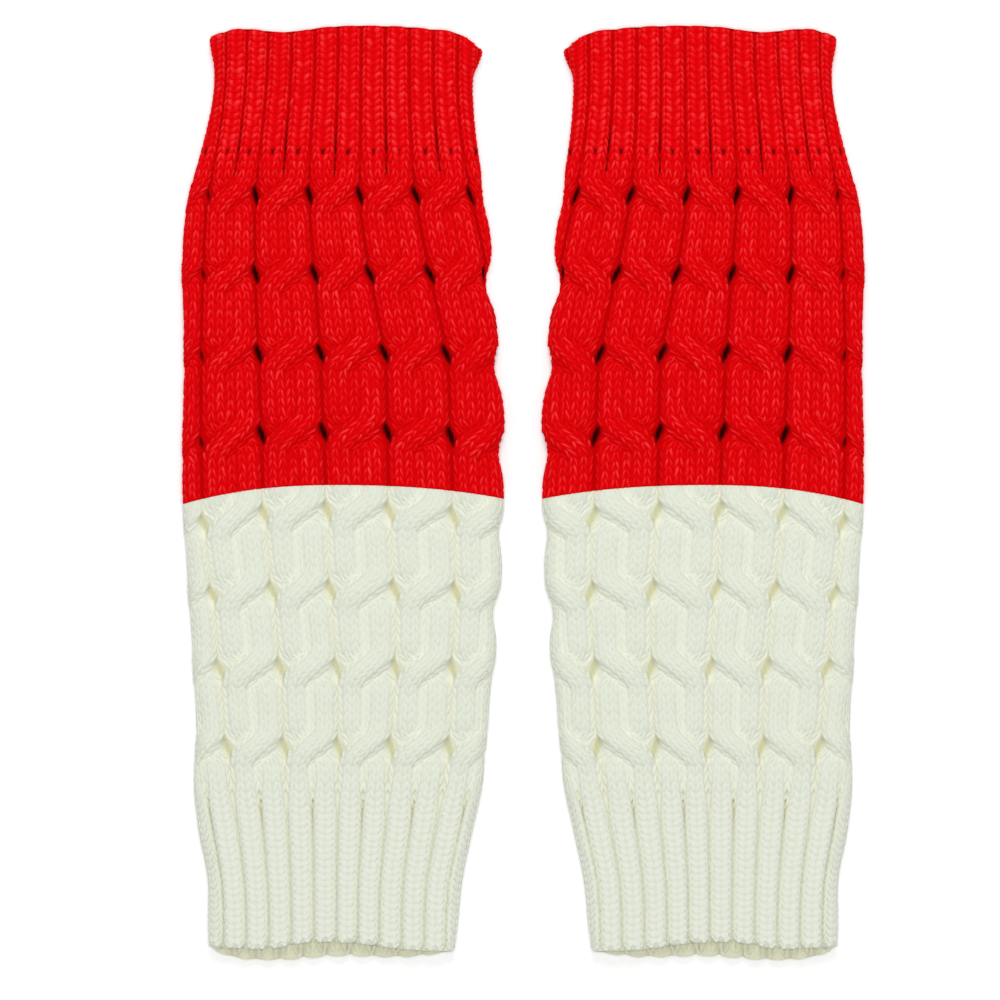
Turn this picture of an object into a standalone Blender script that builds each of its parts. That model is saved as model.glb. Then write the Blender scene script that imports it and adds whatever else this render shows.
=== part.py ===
"""A pair of cable-knit leg warmers, laid flat side by side with their front panels up.

Each leg warmer is a knitted tube that lies flattened: the back panel rests on the surface, the front
panel lies on it, and the cloth folds round at both sides. Ribs in the cuffs run on into the strands of
the cables. All sizes are in metres. Across and down positions are measured on one leg warmer, across
from its straight outer side and down from the highest point of its top edge.
"""

import math
from collections import namedtuple

import bmesh
import bpy
import numpy as np

MM = 0.001

# Driving dimensions
PAIR_WIDTH = 295 * MM
LENGTH = 402 * MM
BACK_WALL = 3.0 * MM
FRONT_WALL = 2.2 * MM
SLIT = 0.6 * MM
SIDE_WALL = 3.6 * MM
RIB_RISE = 2.6 * MM
CABLE_RISE = 3.4 * MM
SEAM_GAP = 0.3 * MM

# Side folds: how far the cloth curves in below and above its widest line, and that line's height
FOLD_UNDER = 4.0 * MM
FOLD_OVER = 7.5 * MM
FOLD_HEIGHT = 3.9 * MM
FOLD_STEPS = 16

# Cables: columns round the tube, and the crossings along it
COLUMNS_ROUND = 11
COLUMN_WIDTH = 25.5 * MM
FIRST_CROSSING = 73.1 * MM
CROSSING_PITCH = 33.8 * MM
CROSSINGS = 8
CROSSING_LENGTH = 0.52
STRAND_SPREAD = 0.25
STRAND_HALF = 0.245
RIB_HALF = 0.19
OVER_LIFT = 0.50
UNDER_DIP = 0.55
LIFT_REACH = 0.36
BODY_HEIGHT = 0.66
BODY_HALF = 0.44
GUTTER_HEIGHT = 0.22
RIDGE_POWER = 2.6
RIDGE_ROUNDING = 0.6

# Where the ribs of each cuff turn into cables
TOP_BLEND = (52 * MM, 63 * MM)
BOTTOM_BLEND = (321 * MM, 336 * MM)

# Lengthwise stations where one piece ends and the next begins
TOP_SEAM = 59.0 * MM
COLOUR_SEAM = 197.4 * MM
BOTTOM_SEAM = 326.5 * MM
HEM = 395.0 * MM

# Points across one column, and rows along the ribs and round one crossing
COLUMN_SAMPLES = (0.0, 0.10, 0.25, 0.40, 0.50, 0.60, 0.75, 0.90)
CROSSING_ROWS = (-0.28, -0.14, 0.0, 0.14, 0.28, 0.50)
TOP_CUFF_ROWS = (0.0, 1.0, 3.0, 11.0, 20.0, 30.0, 40.0, 50.0)
BOTTOM_CUFF_ROWS = (334.0, 343.0, 353.0, 363.0, 373.0, 384.0, 391.5, 394.0)
CONTACT_MARGIN = 0.12
FOLD_POINTS = 3
FLOOR_POINTS = 4
SEARCH_STEPS = 200
INNER_STEPS = 9
INNER_ROW_STEP = 4
NEAREST_ROW = 2.5 * MM

# Round edge of the cloth at the two rims
RIM_ROUNDING = 1.3 * MM
RIM_REACH = 3.5 * MM

# Outer and inner side in mm at each distance down, as the crests of the knitting carry them
Side = namedtuple("Side", "down outer inner")
SIDES = (
    Side(0.0, 10.9, 128.9),
    Side(5.2, 11.4, 129.9),
    Side(10.3, 12.0, 129.9),
    Side(15.5, 13.5, 128.6),
    Side(22.4, 14.0, 126.2),
    Side(34.4, 12.9, 126.0),
    Side(45.6, 10.3, 126.9),
    Side(66.2, 4.5, 129.9),
    Side(84.3, 0.9, 132.6),
    Side(110.0, -0.1, 134.8),
    Side(136.0, 0.7, 137.2),
    Side(167.7, 0.4, 139.7),
    Side(197.0, -0.1, 139.2),
    Side(229.6, 1.7, 138.4),
    Side(269.0, 4.2, 135.6),
    Side(302.7, 6.0, 131.9),
    Side(328.5, 5.4, 129.2),
    Side(344.9, 7.3, 125.6),
    Side(365.5, 11.2, 121.3),
    Side(390.9, 11.4, 118.5),
    Side(397.3, 12.0, 117.4),
    Side(401.0, 14.2, 114.8),
)

# Nips in the inner side in mm, one below each crossing
Nip = namedtuple("Nip", "down depth")
NIPS = (
    Nip(76.5, 1.2),
    Nip(112.7, 3.2),
    Nip(149.6, 2.9),
    Nip(185.3, 2.2),
    Nip(219.3, 1.7),
    Nip(252.8, 2.7),
    Nip(288.0, 0.7),
)
NIP_HALF_LENGTH = 8.0

# Place across in mm of the five grooves between the cable columns on the face, at each distance down
Grooves = namedtuple("Grooves", "down first second third fourth fifth")
GROOVE_NAMES = Grooves._fields[1:]
GROOVES = (
    Grooves(0.0, 20.3, 38.4, 58.5, 78.3, 98.9),
    Grooves(23.2, 19.8, 37.6, 58.1, 78.0, 98.7),
    Grooves(53.3, 16.3, 34.8, 56.3, 77.8, 99.8),
    Grooves(73.1, 12.5, 32.7, 55.9, 77.4, 101.5),
    Grooves(106.6, 10.3, 32.7, 58.1, 81.7, 107.5),
    Grooves(141.9, 9.5, 34.0, 60.6, 88.2, 114.8),
    Grooves(174.6, 9.5, 35.3, 61.9, 89.4, 116.5),
    Grooves(209.8, 10.8, 36.6, 63.6, 90.3, 117.8),
    Grooves(241.7, 14.2, 40.0, 64.9, 92.5, 118.7),
    Grooves(274.3, 17.2, 43.4, 67.5, 92.9, 117.4),
    Grooves(309.6, 20.6, 45.2, 68.4, 90.7, 115.7),
    Grooves(341.4, 24.5, 46.4, 67.9, 88.6, 110.5),
    Grooves(369.4, 28.0, 47.7, 67.5, 86.0, 105.8),
    Grooves(401.0, 28.8, 48.2, 67.5, 85.6, 104.9),
)

# How far in mm each edge of the cloth runs below its station, at each share of the width
Rim = namedtuple("Rim", "share drop")
TOP_RIM = (
    Rim(0.0, 5.2),
    Rim(0.06, 2.6),
    Rim(0.3, 3.0),
    Rim(0.42, 1.0),
    Rim(0.6, 0.3),
    Rim(0.8, 1.6),
    Rim(0.92, 4.0),
    Rim(1.0, 10.3),
)
FRONT_HEM = (
    Rim(0.0, 0.3),
    Rim(0.25, 1.3),
    Rim(0.42, -1.5),
    Rim(0.6, -1.0),
    Rim(0.8, 1.7),
    Rim(1.0, 2.6),
)
BACK_HEM = (
    Rim(0.0, 2.0),
    Rim(0.1, 5.2),
    Rim(0.3, 6.4),
    Rim(0.5, 4.9),
    Rim(0.85, 4.9),
    Rim(1.0, 3.0),
)
TOP_RIM_REACH = 40 * MM
HEM_REACH = 60 * MM
BACK_RIM_DROP = 0.8 * MM

# Arch of the courses at the colour change: drop at each side and where its middle is
ARCH_DROP_OUTER = 8.2 * MM
ARCH_DROP_INNER = 5.8 * MM
ARCH_MIDDLE = 0.48
ARCH_POWER = 2.3
ARCH_REACH = 45 * MM

RED = (0.75, 0.005, 0.008, 1.0)
CREAM = (0.80, 0.82, 0.71, 1.0)
YARN_ROUGHNESS = 0.92
SHARP_ANGLE = math.radians(60)


def column(table, name):
    """One named column of a table, as numbers in the table's order."""
    return np.array([getattr(row, name) for row in table], float)


def glide(at, places, values):
    """Reads a smooth curve through the given values at the given places."""
    slopes = np.gradient(values, places)
    at = np.clip(at, places[0], places[-1])
    i = np.clip(np.searchsorted(places, at, side="right") - 1, 0, len(places) - 2)
    span = places[i + 1] - places[i]
    u = (at - places[i]) / span
    rise = u * u * (3 - 2 * u)
    start = u * (1 - u) ** 2 * span * slopes[i]
    end = -u * u * (1 - u) * span * slopes[i + 1]
    return values[i] * (1 - rise) + values[i + 1] * rise + start + end


def ease(at, low, high):
    """Rises smoothly from 0 at low to 1 at high."""
    u = np.clip((at - low) / (high - low), 0.0, 1.0)
    return u * u * (3 - 2 * u)


def side_edges(down_outer, down_inner):
    """The outer and inner side of the flat tube, each at its own distance down."""
    down = column(SIDES, "down")
    outer = glide(down_outer / MM, down, column(SIDES, "outer"))
    inner = glide(down_inner / MM, down, column(SIDES, "inner"))
    for nip in NIPS:
        away = (down_inner / MM - nip.down) / NIP_HALF_LENGTH
        inner = inner - nip.depth * math.exp(-away * away)
    return float(outer) * MM, float(inner) * MM


def rim_drop(table, share):
    """How far below its station an edge of the cloth runs, at a share of the width."""
    return glide(share, column(table, "share"), column(table, "drop")) * MM


def course_drop(station, share, front):
    """How far below its station a course runs, at a share of the width and on the front or the back."""
    top_weight = np.clip(1 - station / TOP_RIM_REACH, 0, 1) ** 2
    hem_weight = np.clip(1 - (HEM - station) / HEM_REACH, 0, 1) ** 2
    top_drop = rim_drop(TOP_RIM, share) + (1 - front) * BACK_RIM_DROP
    hem_drop = front * rim_drop(FRONT_HEM, share) + (1 - front) * rim_drop(BACK_HEM, share)
    outer_part = np.clip(1 - share / ARCH_MIDDLE, 0, 1) ** ARCH_POWER
    inner_part = np.clip((share - ARCH_MIDDLE) / (1 - ARCH_MIDDLE), 0, 1) ** ARCH_POWER
    arch = ARCH_DROP_OUTER * outer_part + ARCH_DROP_INNER * inner_part
    arch_weight = math.exp(-(((station - COLOUR_SEAM) / ARCH_REACH) ** 2))
    return top_drop * top_weight + hem_drop * hem_weight + arch * arch_weight


def cable_weight(station):
    """0 where the cloth is ribbed and 1 where it is cabled."""
    return ease(station, *TOP_BLEND) * (1 - ease(station, *BOTTOM_BLEND))


def ridge(distance):
    """Height of a round strand at a distance from its middle, as a share of its half width."""
    inside = np.clip(np.abs(distance), 0, 1)
    return (1 - inside**RIDGE_POWER) ** RIDGE_ROUNDING


def relief(column, station):
    """Height of the knitting above the bottom of its grooves, where 1 is the crest of a straight strand."""
    t = column - np.floor(column)
    cabled = cable_weight(station)
    phase = (station - FIRST_CROSSING) / CROSSING_PITCH
    nearest = np.clip(np.round(phase), 0, CROSSINGS - 1)
    away = phase - nearest
    u = np.clip(away / CROSSING_LENGTH + 0.5, 0, 1)
    moved = u * u * (3 - 2 * u)
    over = 0.5 + STRAND_SPREAD * (1 - 2 * moved)
    under = 1 - over
    slope = 2 * STRAND_SPREAD * 6 * u * (1 - u) / CROSSING_LENGTH
    slant = math.hypot(1.0, slope * COLUMN_WIDTH / CROSSING_PITCH)
    lift = math.cos(math.pi / 2 * min(abs(away) / LIFT_REACH, 1)) ** 2 * cabled
    half = RIB_HALF + (STRAND_HALF - RIB_HALF) * cabled
    over_strand = (1 + OVER_LIFT * lift) * ridge((t - over) / (half * slant))
    under_strand = (1 - UNDER_DIP * lift) * ridge((t - under) / half)
    body = BODY_HEIGHT * cabled * ridge((t - 0.5) / BODY_HALF)
    groove = GUTTER_HEIGHT * cabled * (1 - lift)
    return np.maximum.reduce([over_strand, under_strand, body, np.full_like(t, groove)])


def envelope(outer, inner, top):
    """The smooth shape that the crests of one course touch, from floor to floor over the front.

    Gives the distance along it, measured so that it equals the place across on the flat top, with each
    point and the direction that faces out of the cloth there.
    """
    turn = np.linspace(0, math.pi / 2, FOLD_STEPS)
    lower_x = FOLD_UNDER * (1 - np.sin(turn))
    lower_z = FOLD_HEIGHT * (1 - np.cos(turn))
    upper_x = FOLD_OVER * (1 - np.cos(turn))
    upper_z = FOLD_HEIGHT + (top - FOLD_HEIGHT) * np.sin(turn)
    x = np.concatenate([lower_x, upper_x[1:]])
    z = np.concatenate([lower_z, upper_z[1:]])
    nx = np.concatenate([-np.sin(turn), -np.cos(turn[1:])])
    nz = np.concatenate([-np.cos(turn), np.sin(turn[1:])])
    length = np.concatenate([[0], np.cumsum(np.hypot(np.diff(x), np.diff(z)))])
    start = outer + FOLD_OVER - length[-1]
    finish = inner - FOLD_OVER + length[-1]
    along = np.concatenate([start + length, finish - length[::-1]])
    across = np.concatenate([outer + x, inner - x[::-1]])
    height = np.concatenate([z, z[::-1]])
    face_x = np.concatenate([nx, -nx[::-1]])
    face_z = np.concatenate([nz, nz[::-1]])
    return along, across, height, face_x, face_z


def columns_to_along(columns, station):
    """Where each column line lies, measured across the front and on round the folds."""
    down = column(GROOVES, "down")
    places = [glide(station / MM, down, column(GROOVES, name)) * MM for name in GROOVE_NAMES]
    before = 2 * places[0] - places[1]
    after = 2 * places[-1] - places[-2]
    known = np.array([before, *places, after])
    lines = np.arange(len(known))
    along = np.interp(columns, lines, known)
    along = np.where(columns < 0, before + columns * (known[1] - before), along)
    beyond = after + (columns - lines[-1]) * (after - known[-2])
    return np.where(columns > lines[-1], beyond, along)


def rim_fall(station):
    """How much lower the cloth stands close to its two rims."""
    near = min(station, HEM - station)
    u = np.clip(1 - near / RIM_REACH, 0, 1)
    return RIM_ROUNDING * (1 - math.sqrt(1 - u * u))


def row_sizes(station):
    """Sides, crest height and relief height of the cloth at one station."""
    drop_outer = float(course_drop(station, np.array(0.0), 0.5))
    drop_inner = float(course_drop(station, np.array(1.0), 0.5))
    outer, inner = side_edges(station + drop_outer, station + drop_inner)
    rise = RIB_RISE + (CABLE_RISE - RIB_RISE) * cable_weight(station)
    top = BACK_WALL + SLIT + FRONT_WALL + rise - rim_fall(station)
    return outer, inner, top, rise


def contact_columns(station, along):
    """The columns at which the cloth meets the floor below its outer and its inner side."""
    columns = np.linspace(-COLUMNS_ROUND / 2, COLUMNS_ROUND, SEARCH_STEPS)
    return np.interp([along[0], along[-1]], columns_to_along(columns, station), columns)


def outer_ring(station, lines):
    """One course over the front, on the given column lines and some points down to the floor each side."""
    outer, inner, top, rise = row_sizes(station)
    along, across, height, face_x, face_z = envelope(outer, inner, top)
    low, high = contact_columns(station, along)
    down_outer = np.linspace(low, lines[0], FOLD_POINTS + 1)[:-1]
    down_inner = np.linspace(lines[-1], high, FOLD_POINTS + 1)[1:]
    columns = np.concatenate([down_outer, lines, down_inner])
    want = columns_to_along(columns, station)
    x, z, nx, nz = (np.interp(want, along, line) for line in (across, height, face_x, face_z))
    sunk = (1 - relief(columns, station)) * rise
    sunk = np.where(sunk < 0, sunk * np.clip(nz, 0, 1), sunk)
    front = ease(z, 0.0, FOLD_HEIGHT)
    return x - nx * sunk * front, z - nz * sunk * front, front


def shared_lines(stations):
    """The column lines that lie on the front or well up its folds in every course of a piece."""
    ends = []
    for station in stations:
        outer, inner, top, _ = row_sizes(station)
        ends.append(contact_columns(station, envelope(outer, inner, top)[0]))
    low, high = np.max(ends, axis=0)[0] + CONTACT_MARGIN, np.min(ends, axis=0)[1] - CONTACT_MARGIN
    lines = [c + s for c in range(-1, COLUMNS_ROUND) for s in COLUMN_SAMPLES]
    return np.array([c for c in lines if low <= c <= high])


def ring_points(across, height, front, station, outer, inner):
    """Places one ring in space: across to X, down the garment to Y, with the drop of its course."""
    share = np.clip((across - outer) / (inner - outer), 0, 1)
    down = station + course_drop(station, share, front)
    return np.column_stack([across - PAIR_WIDTH / 2, LENGTH / 2 - down, height])


def outside_points(station, lines):
    """The outside ring of one station: over the front, then back along the floor."""
    outer, inner, _, _ = row_sizes(station)
    x, z, front = outer_ring(station, lines)
    floor_x = np.linspace(x[-1], x[0], FLOOR_POINTS + 2)[1:-1]
    across = np.concatenate([x, floor_x])
    height = np.concatenate([z, np.zeros(FLOOR_POINTS)])
    face = np.concatenate([front, np.zeros(FLOOR_POINTS)])
    return ring_points(across, height, face, station, outer, inner)


def inside_points(station):
    """The plain inside ring of one station: under the front panel, then back over the back panel."""
    outer, inner, _, _ = row_sizes(station)
    across = np.linspace(outer + SIDE_WALL, inner - SIDE_WALL, INNER_STEPS)
    middle = BACK_WALL + SLIT / 2
    upper = np.full(INNER_STEPS, BACK_WALL + SLIT)
    upper[0] = upper[-1] = middle
    lower = np.full(INNER_STEPS - 2, BACK_WALL)
    x = np.concatenate([across, across[-2:0:-1]])
    z = np.concatenate([upper, lower])
    front = np.concatenate([np.ones(INNER_STEPS), np.zeros(INNER_STEPS - 2)])
    front[0] = front[INNER_STEPS - 1] = 0.5
    return ring_points(x, z, front, station, outer, inner)


def around(points):
    """Share of the way round the flat tube: 0 at the outer side, 0.5 at the inner side."""
    x, z = points[:, 0], points[:, 2]
    first, last = int(np.argmin(x)), int(np.argmax(x))
    share = (x - x[first]) / (x[last] - x[first])
    order = np.arange(len(x))
    return np.where((order >= first) & (order <= last), share / 2, 1 - share / 2) % 1


def stations_of(first, last, rows):
    """Stations of one piece: its two ends, and the given rows that lie clear of them."""
    inside = [r for r in rows if first + NEAREST_ROW < r < last - NEAREST_ROW]
    return [first, *inside, last]


def piece_rows():
    """Each piece's name, yarn colour and stations, from the top rim to the bottom hem."""
    crossing = [
        FIRST_CROSSING + (k + part) * CROSSING_PITCH for k in range(CROSSINGS) for part in CROSSING_ROWS
    ]
    half = SEAM_GAP / 2
    top_rows = [r * MM for r in TOP_CUFF_ROWS]
    bottom_rows = [r * MM for r in BOTTOM_CUFF_ROWS]
    return (
        ("top_cuff", "red", [*top_rows, TOP_SEAM - half]),
        ("upper_leg", "red", stations_of(TOP_SEAM + half, COLOUR_SEAM - half, crossing)),
        ("lower_leg", "cream", stations_of(COLOUR_SEAM + half, BOTTOM_SEAM - half, crossing)),
        ("bottom_cuff", "cream", [BOTTOM_SEAM + half, *bottom_rows, HEM]),
    )


def bridge_rings(mesh, ring, following, outward):
    """Faces between two rings of the same number of points, split the way the upper strands slant."""
    count = len(ring)
    for i in range(count):
        j = (i + 1) % count
        for corners in ((ring[i], following[i], ring[j]), (ring[j], following[i], following[j])):
            mesh.faces.new(corners if outward else corners[::-1])


def from_outer_side(ring, points):
    """A ring and its shares of the way round, turned so that it starts at the outer side."""
    shares = around(points)
    first = int(np.argmin(shares))
    return ring[first:] + ring[:first], np.maximum.accumulate(np.roll(shares, -first))


def zip_rings(mesh, outer, outer_share, inner, inner_share, upward):
    """Closes a rim with triangles between an outside ring and an inside ring of fewer points."""
    i = j = 0
    while i < len(outer) or j < len(inner):
        next_outer = outer_share[i + 1] if i + 1 < len(outer) else 1.0
        next_inner = inner_share[j + 1] if j + 1 < len(inner) else 1.0
        corners = [outer[i % len(outer)], inner[j % len(inner)]]
        if j >= len(inner) or (i < len(outer) and next_outer <= next_inner):
            i += 1
            corners.append(outer[i % len(outer)])
        else:
            j += 1
            corners.append(inner[j % len(inner)])
        mesh.faces.new(corners[::-1] if upward else corners)


def tube_rings(mesh, station_points, outward):
    """Adds one ring of points for each station, and the faces of the wall between them."""
    rings = [[mesh.verts.new(p) for p in points] for points in station_points]
    for ring, following in zip(rings, rings[1:]):
        bridge_rings(mesh, ring, following, outward)
    return rings


def knitted_tube(name, stations, material, side):
    """Makes one closed piece of the flat tube, on the left for side 1 and mirrored for side -1."""
    lines = shared_lines(stations)
    inner_stations = [stations[0], *stations[INNER_ROW_STEP:-2:INNER_ROW_STEP], stations[-1]]
    outside_places = [outside_points(s, lines) for s in stations]
    inside_places = [inside_points(s) for s in inner_stations]
    mesh = bmesh.new()
    outside = tube_rings(mesh, outside_places, outward=True)
    inside = tube_rings(mesh, inside_places, outward=False)
    for end, upward in ((0, True), (-1, False)):
        outer = from_outer_side(outside[end], outside_places[end])
        inner = from_outer_side(inside[end], inside_places[end])
        zip_rings(mesh, *outer, *inner, upward)
    if side < 0:
        bmesh.ops.scale(mesh, vec=(-1, 1, 1), verts=mesh.verts)
        bmesh.ops.reverse_faces(mesh, faces=mesh.faces)
    data = bpy.data.meshes.new(name)
    mesh.to_mesh(data)
    mesh.free()
    data.materials.append(material)
    data.shade_smooth()
    data.set_sharp_from_angle(angle=SHARP_ANGLE)
    obj = bpy.data.objects.new(name, data)
    bpy.context.scene.collection.objects.link(obj)
    return obj


def yarn(name, colour):
    """Soft acrylic yarn: the piece's colour, rough and not metallic."""
    material = bpy.data.materials.new(name)
    material.use_nodes = True
    shader = material.node_tree.nodes["Principled BSDF"]
    shader.inputs["Base Color"].default_value = colour
    shader.inputs["Roughness"].default_value = YARN_ROUGHNESS
    shader.inputs["Metallic"].default_value = 0.0
    return material


def clear_scene():
    """Removes every object of the scene."""
    for obj in list(bpy.data.objects):
        bpy.data.objects.remove(obj, do_unlink=True)


def main():
    """Builds both leg warmers, four knitted pieces each."""
    clear_scene()
    for leg, side in (("left", 1), ("right", -1)):
        for piece, colour, stations in piece_rows():
            name = f"{leg}_{piece}"
            shade = RED if colour == "red" else CREAM
            knitted_tube(name, stations, yarn(f"{name}_{colour}_yarn", shade), side)


main()
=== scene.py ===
"""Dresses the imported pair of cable-knit leg warmers as they lie flat, front panels up.

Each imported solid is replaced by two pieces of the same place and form. One is the thin closed wall of the
cloth, with the ribs and crossing strands raised in it. The other is the stitches that stand on that wall,
two slanting legs of yarn for each stitch, in wales that follow the ribs and strands. The sizes repeat
those of the part's source, in metres: across from the straight outer side of one leg warmer, and down
from the highest point of its top edge. Down the garment is called a station where it follows a course.
"""

import logging
import math
from dataclasses import dataclass, field
from enum import Enum
from typing import NamedTuple

import bpy
import numpy as np
from numpy.typing import NDArray
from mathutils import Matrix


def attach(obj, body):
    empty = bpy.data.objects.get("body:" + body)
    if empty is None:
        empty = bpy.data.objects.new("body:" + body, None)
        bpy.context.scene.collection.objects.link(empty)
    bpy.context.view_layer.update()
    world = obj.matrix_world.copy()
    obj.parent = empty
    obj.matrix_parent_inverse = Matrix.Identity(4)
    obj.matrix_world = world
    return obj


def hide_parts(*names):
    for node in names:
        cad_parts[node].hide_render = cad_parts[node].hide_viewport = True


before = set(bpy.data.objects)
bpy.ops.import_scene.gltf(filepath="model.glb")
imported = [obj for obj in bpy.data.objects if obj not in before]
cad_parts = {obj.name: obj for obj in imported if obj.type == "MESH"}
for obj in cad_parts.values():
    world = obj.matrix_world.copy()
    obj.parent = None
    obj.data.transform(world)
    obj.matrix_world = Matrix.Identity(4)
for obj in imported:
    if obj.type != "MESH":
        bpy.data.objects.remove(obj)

Numbers = NDArray[np.float64]
Colour = tuple[float, float, float, float]
Socket = bpy.types.NodeSocket
MM = 0.001
LOG = logging.getLogger("leg_warmers")


class Hand(Enum):
    """Which leg warmer of the pair, as the sign of its X direction."""

    LEFT = 1
    RIGHT = -1


class Yarn(Enum):
    """The two yarns, each named as its material slot."""

    RED = "red_yarn"
    CREAM = "cream_yarn"


class Side(NamedTuple):
    """Outer and inner side of the flat tube in mm, at a distance down."""

    down: float
    outer: float
    inner: float


class Nip(NamedTuple):
    """A place in mm down where the inner side draws in, and how far."""

    down: float
    depth: float


class Grooves(NamedTuple):
    """Places across in mm of the five grooves on the face, at a distance down."""

    down: float
    first: float
    second: float
    third: float
    fourth: float
    fifth: float


class Rim(NamedTuple):
    """How far in mm an edge of the cloth runs below its station, at a share of the width."""

    share: float
    drop: float


SIDES = (
    Side(0.0, 10.9, 128.9),
    Side(5.2, 11.4, 129.9),
    Side(10.3, 12.0, 129.9),
    Side(15.5, 13.5, 128.6),
    Side(22.4, 14.0, 126.2),
    Side(34.4, 12.9, 126.0),
    Side(45.6, 10.3, 126.9),
    Side(66.2, 4.5, 129.9),
    Side(84.3, 0.9, 132.6),
    Side(110.0, -0.1, 134.8),
    Side(136.0, 0.7, 137.2),
    Side(167.7, 0.4, 139.7),
    Side(197.0, -0.1, 139.2),
    Side(229.6, 1.7, 138.4),
    Side(269.0, 4.2, 135.6),
    Side(302.7, 6.0, 131.9),
    Side(328.5, 5.4, 129.2),
    Side(344.9, 7.3, 125.6),
    Side(365.5, 11.2, 121.3),
    Side(390.9, 11.4, 118.5),
    Side(397.3, 12.0, 117.4),
    Side(401.0, 14.2, 114.8),
)
NIPS = (
    Nip(76.5, 1.2),
    Nip(112.7, 3.2),
    Nip(149.6, 2.9),
    Nip(185.3, 2.2),
    Nip(219.3, 1.7),
    Nip(252.8, 2.7),
    Nip(288.0, 0.7),
)
GROOVES = (
    Grooves(0.0, 20.3, 38.4, 58.5, 78.3, 98.9),
    Grooves(23.2, 19.8, 37.6, 58.1, 78.0, 98.7),
    Grooves(53.3, 16.3, 34.8, 56.3, 77.8, 99.8),
    Grooves(73.1, 12.5, 32.7, 55.9, 77.4, 101.5),
    Grooves(106.6, 10.3, 32.7, 58.1, 81.7, 107.5),
    Grooves(141.9, 9.5, 34.0, 60.6, 88.2, 114.8),
    Grooves(174.6, 9.5, 35.3, 61.9, 89.4, 116.5),
    Grooves(209.8, 10.8, 36.6, 63.6, 90.3, 117.8),
    Grooves(241.7, 14.2, 40.0, 64.9, 92.5, 118.7),
    Grooves(274.3, 17.2, 43.4, 67.5, 92.9, 117.4),
    Grooves(309.6, 20.6, 45.2, 68.4, 90.7, 115.7),
    Grooves(341.4, 24.5, 46.4, 67.9, 88.6, 110.5),
    Grooves(369.4, 28.0, 47.7, 67.5, 86.0, 105.8),
    Grooves(401.0, 28.8, 48.2, 67.5, 85.6, 104.9),
)
TOP_RIM = (
    Rim(0.0, 5.2),
    Rim(0.06, 2.6),
    Rim(0.3, 3.0),
    Rim(0.42, 1.0),
    Rim(0.6, 0.3),
    Rim(0.8, 1.6),
    Rim(0.92, 4.0),
    Rim(1.0, 10.3),
)
FRONT_HEM = (
    Rim(0.0, 0.3),
    Rim(0.25, 1.3),
    Rim(0.42, -1.5),
    Rim(0.6, -1.0),
    Rim(0.8, 1.7),
    Rim(1.0, 2.6),
)
BACK_HEM = (
    Rim(0.0, 2.0),
    Rim(0.1, 5.2),
    Rim(0.3, 6.4),
    Rim(0.5, 4.9),
    Rim(0.85, 4.9),
    Rim(1.0, 3.0),
)


def column_of(table: tuple[NamedTuple, ...], name: str) -> Numbers:
    """One named column of a table, as numbers in the table's order."""
    return np.array([getattr(row, name) for row in table], float)


def glide(at: Numbers, places: Numbers, values: Numbers) -> Numbers:
    """Reads a smooth curve through given values.

    Args:
        at: Where to read it.
        places: Where the values stand, rising.
        values: The values at those places.

    Returns:
        The curve's value at each point of at.
    """
    slopes = np.gradient(values, places)
    at = np.clip(at, places[0], places[-1])
    i = np.clip(np.searchsorted(places, at, side="right") - 1, 0, len(places) - 2)
    span = places[i + 1] - places[i]
    u = (at - places[i]) / span
    rise = u * u * (3 - 2 * u)
    start = u * (1 - u) ** 2 * span * slopes[i]
    end = -u * u * (1 - u) * span * slopes[i + 1]
    return values[i] * (1 - rise) + values[i + 1] * rise + start + end


def ease(at: Numbers, low: float, high: float) -> Numbers:
    """Rises smoothly from 0 at low to 1 at high."""
    u = np.clip((at - low) / (high - low), 0.0, 1.0)
    return u * u * (3 - 2 * u)


class Crossing(NamedTuple):
    """What the strands of a column do at each station."""

    cabled: Numbers
    over: Numbers
    under: Numbers
    slant: Numbers
    turn: Numbers
    lift: Numbers
    half: Numbers


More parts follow.
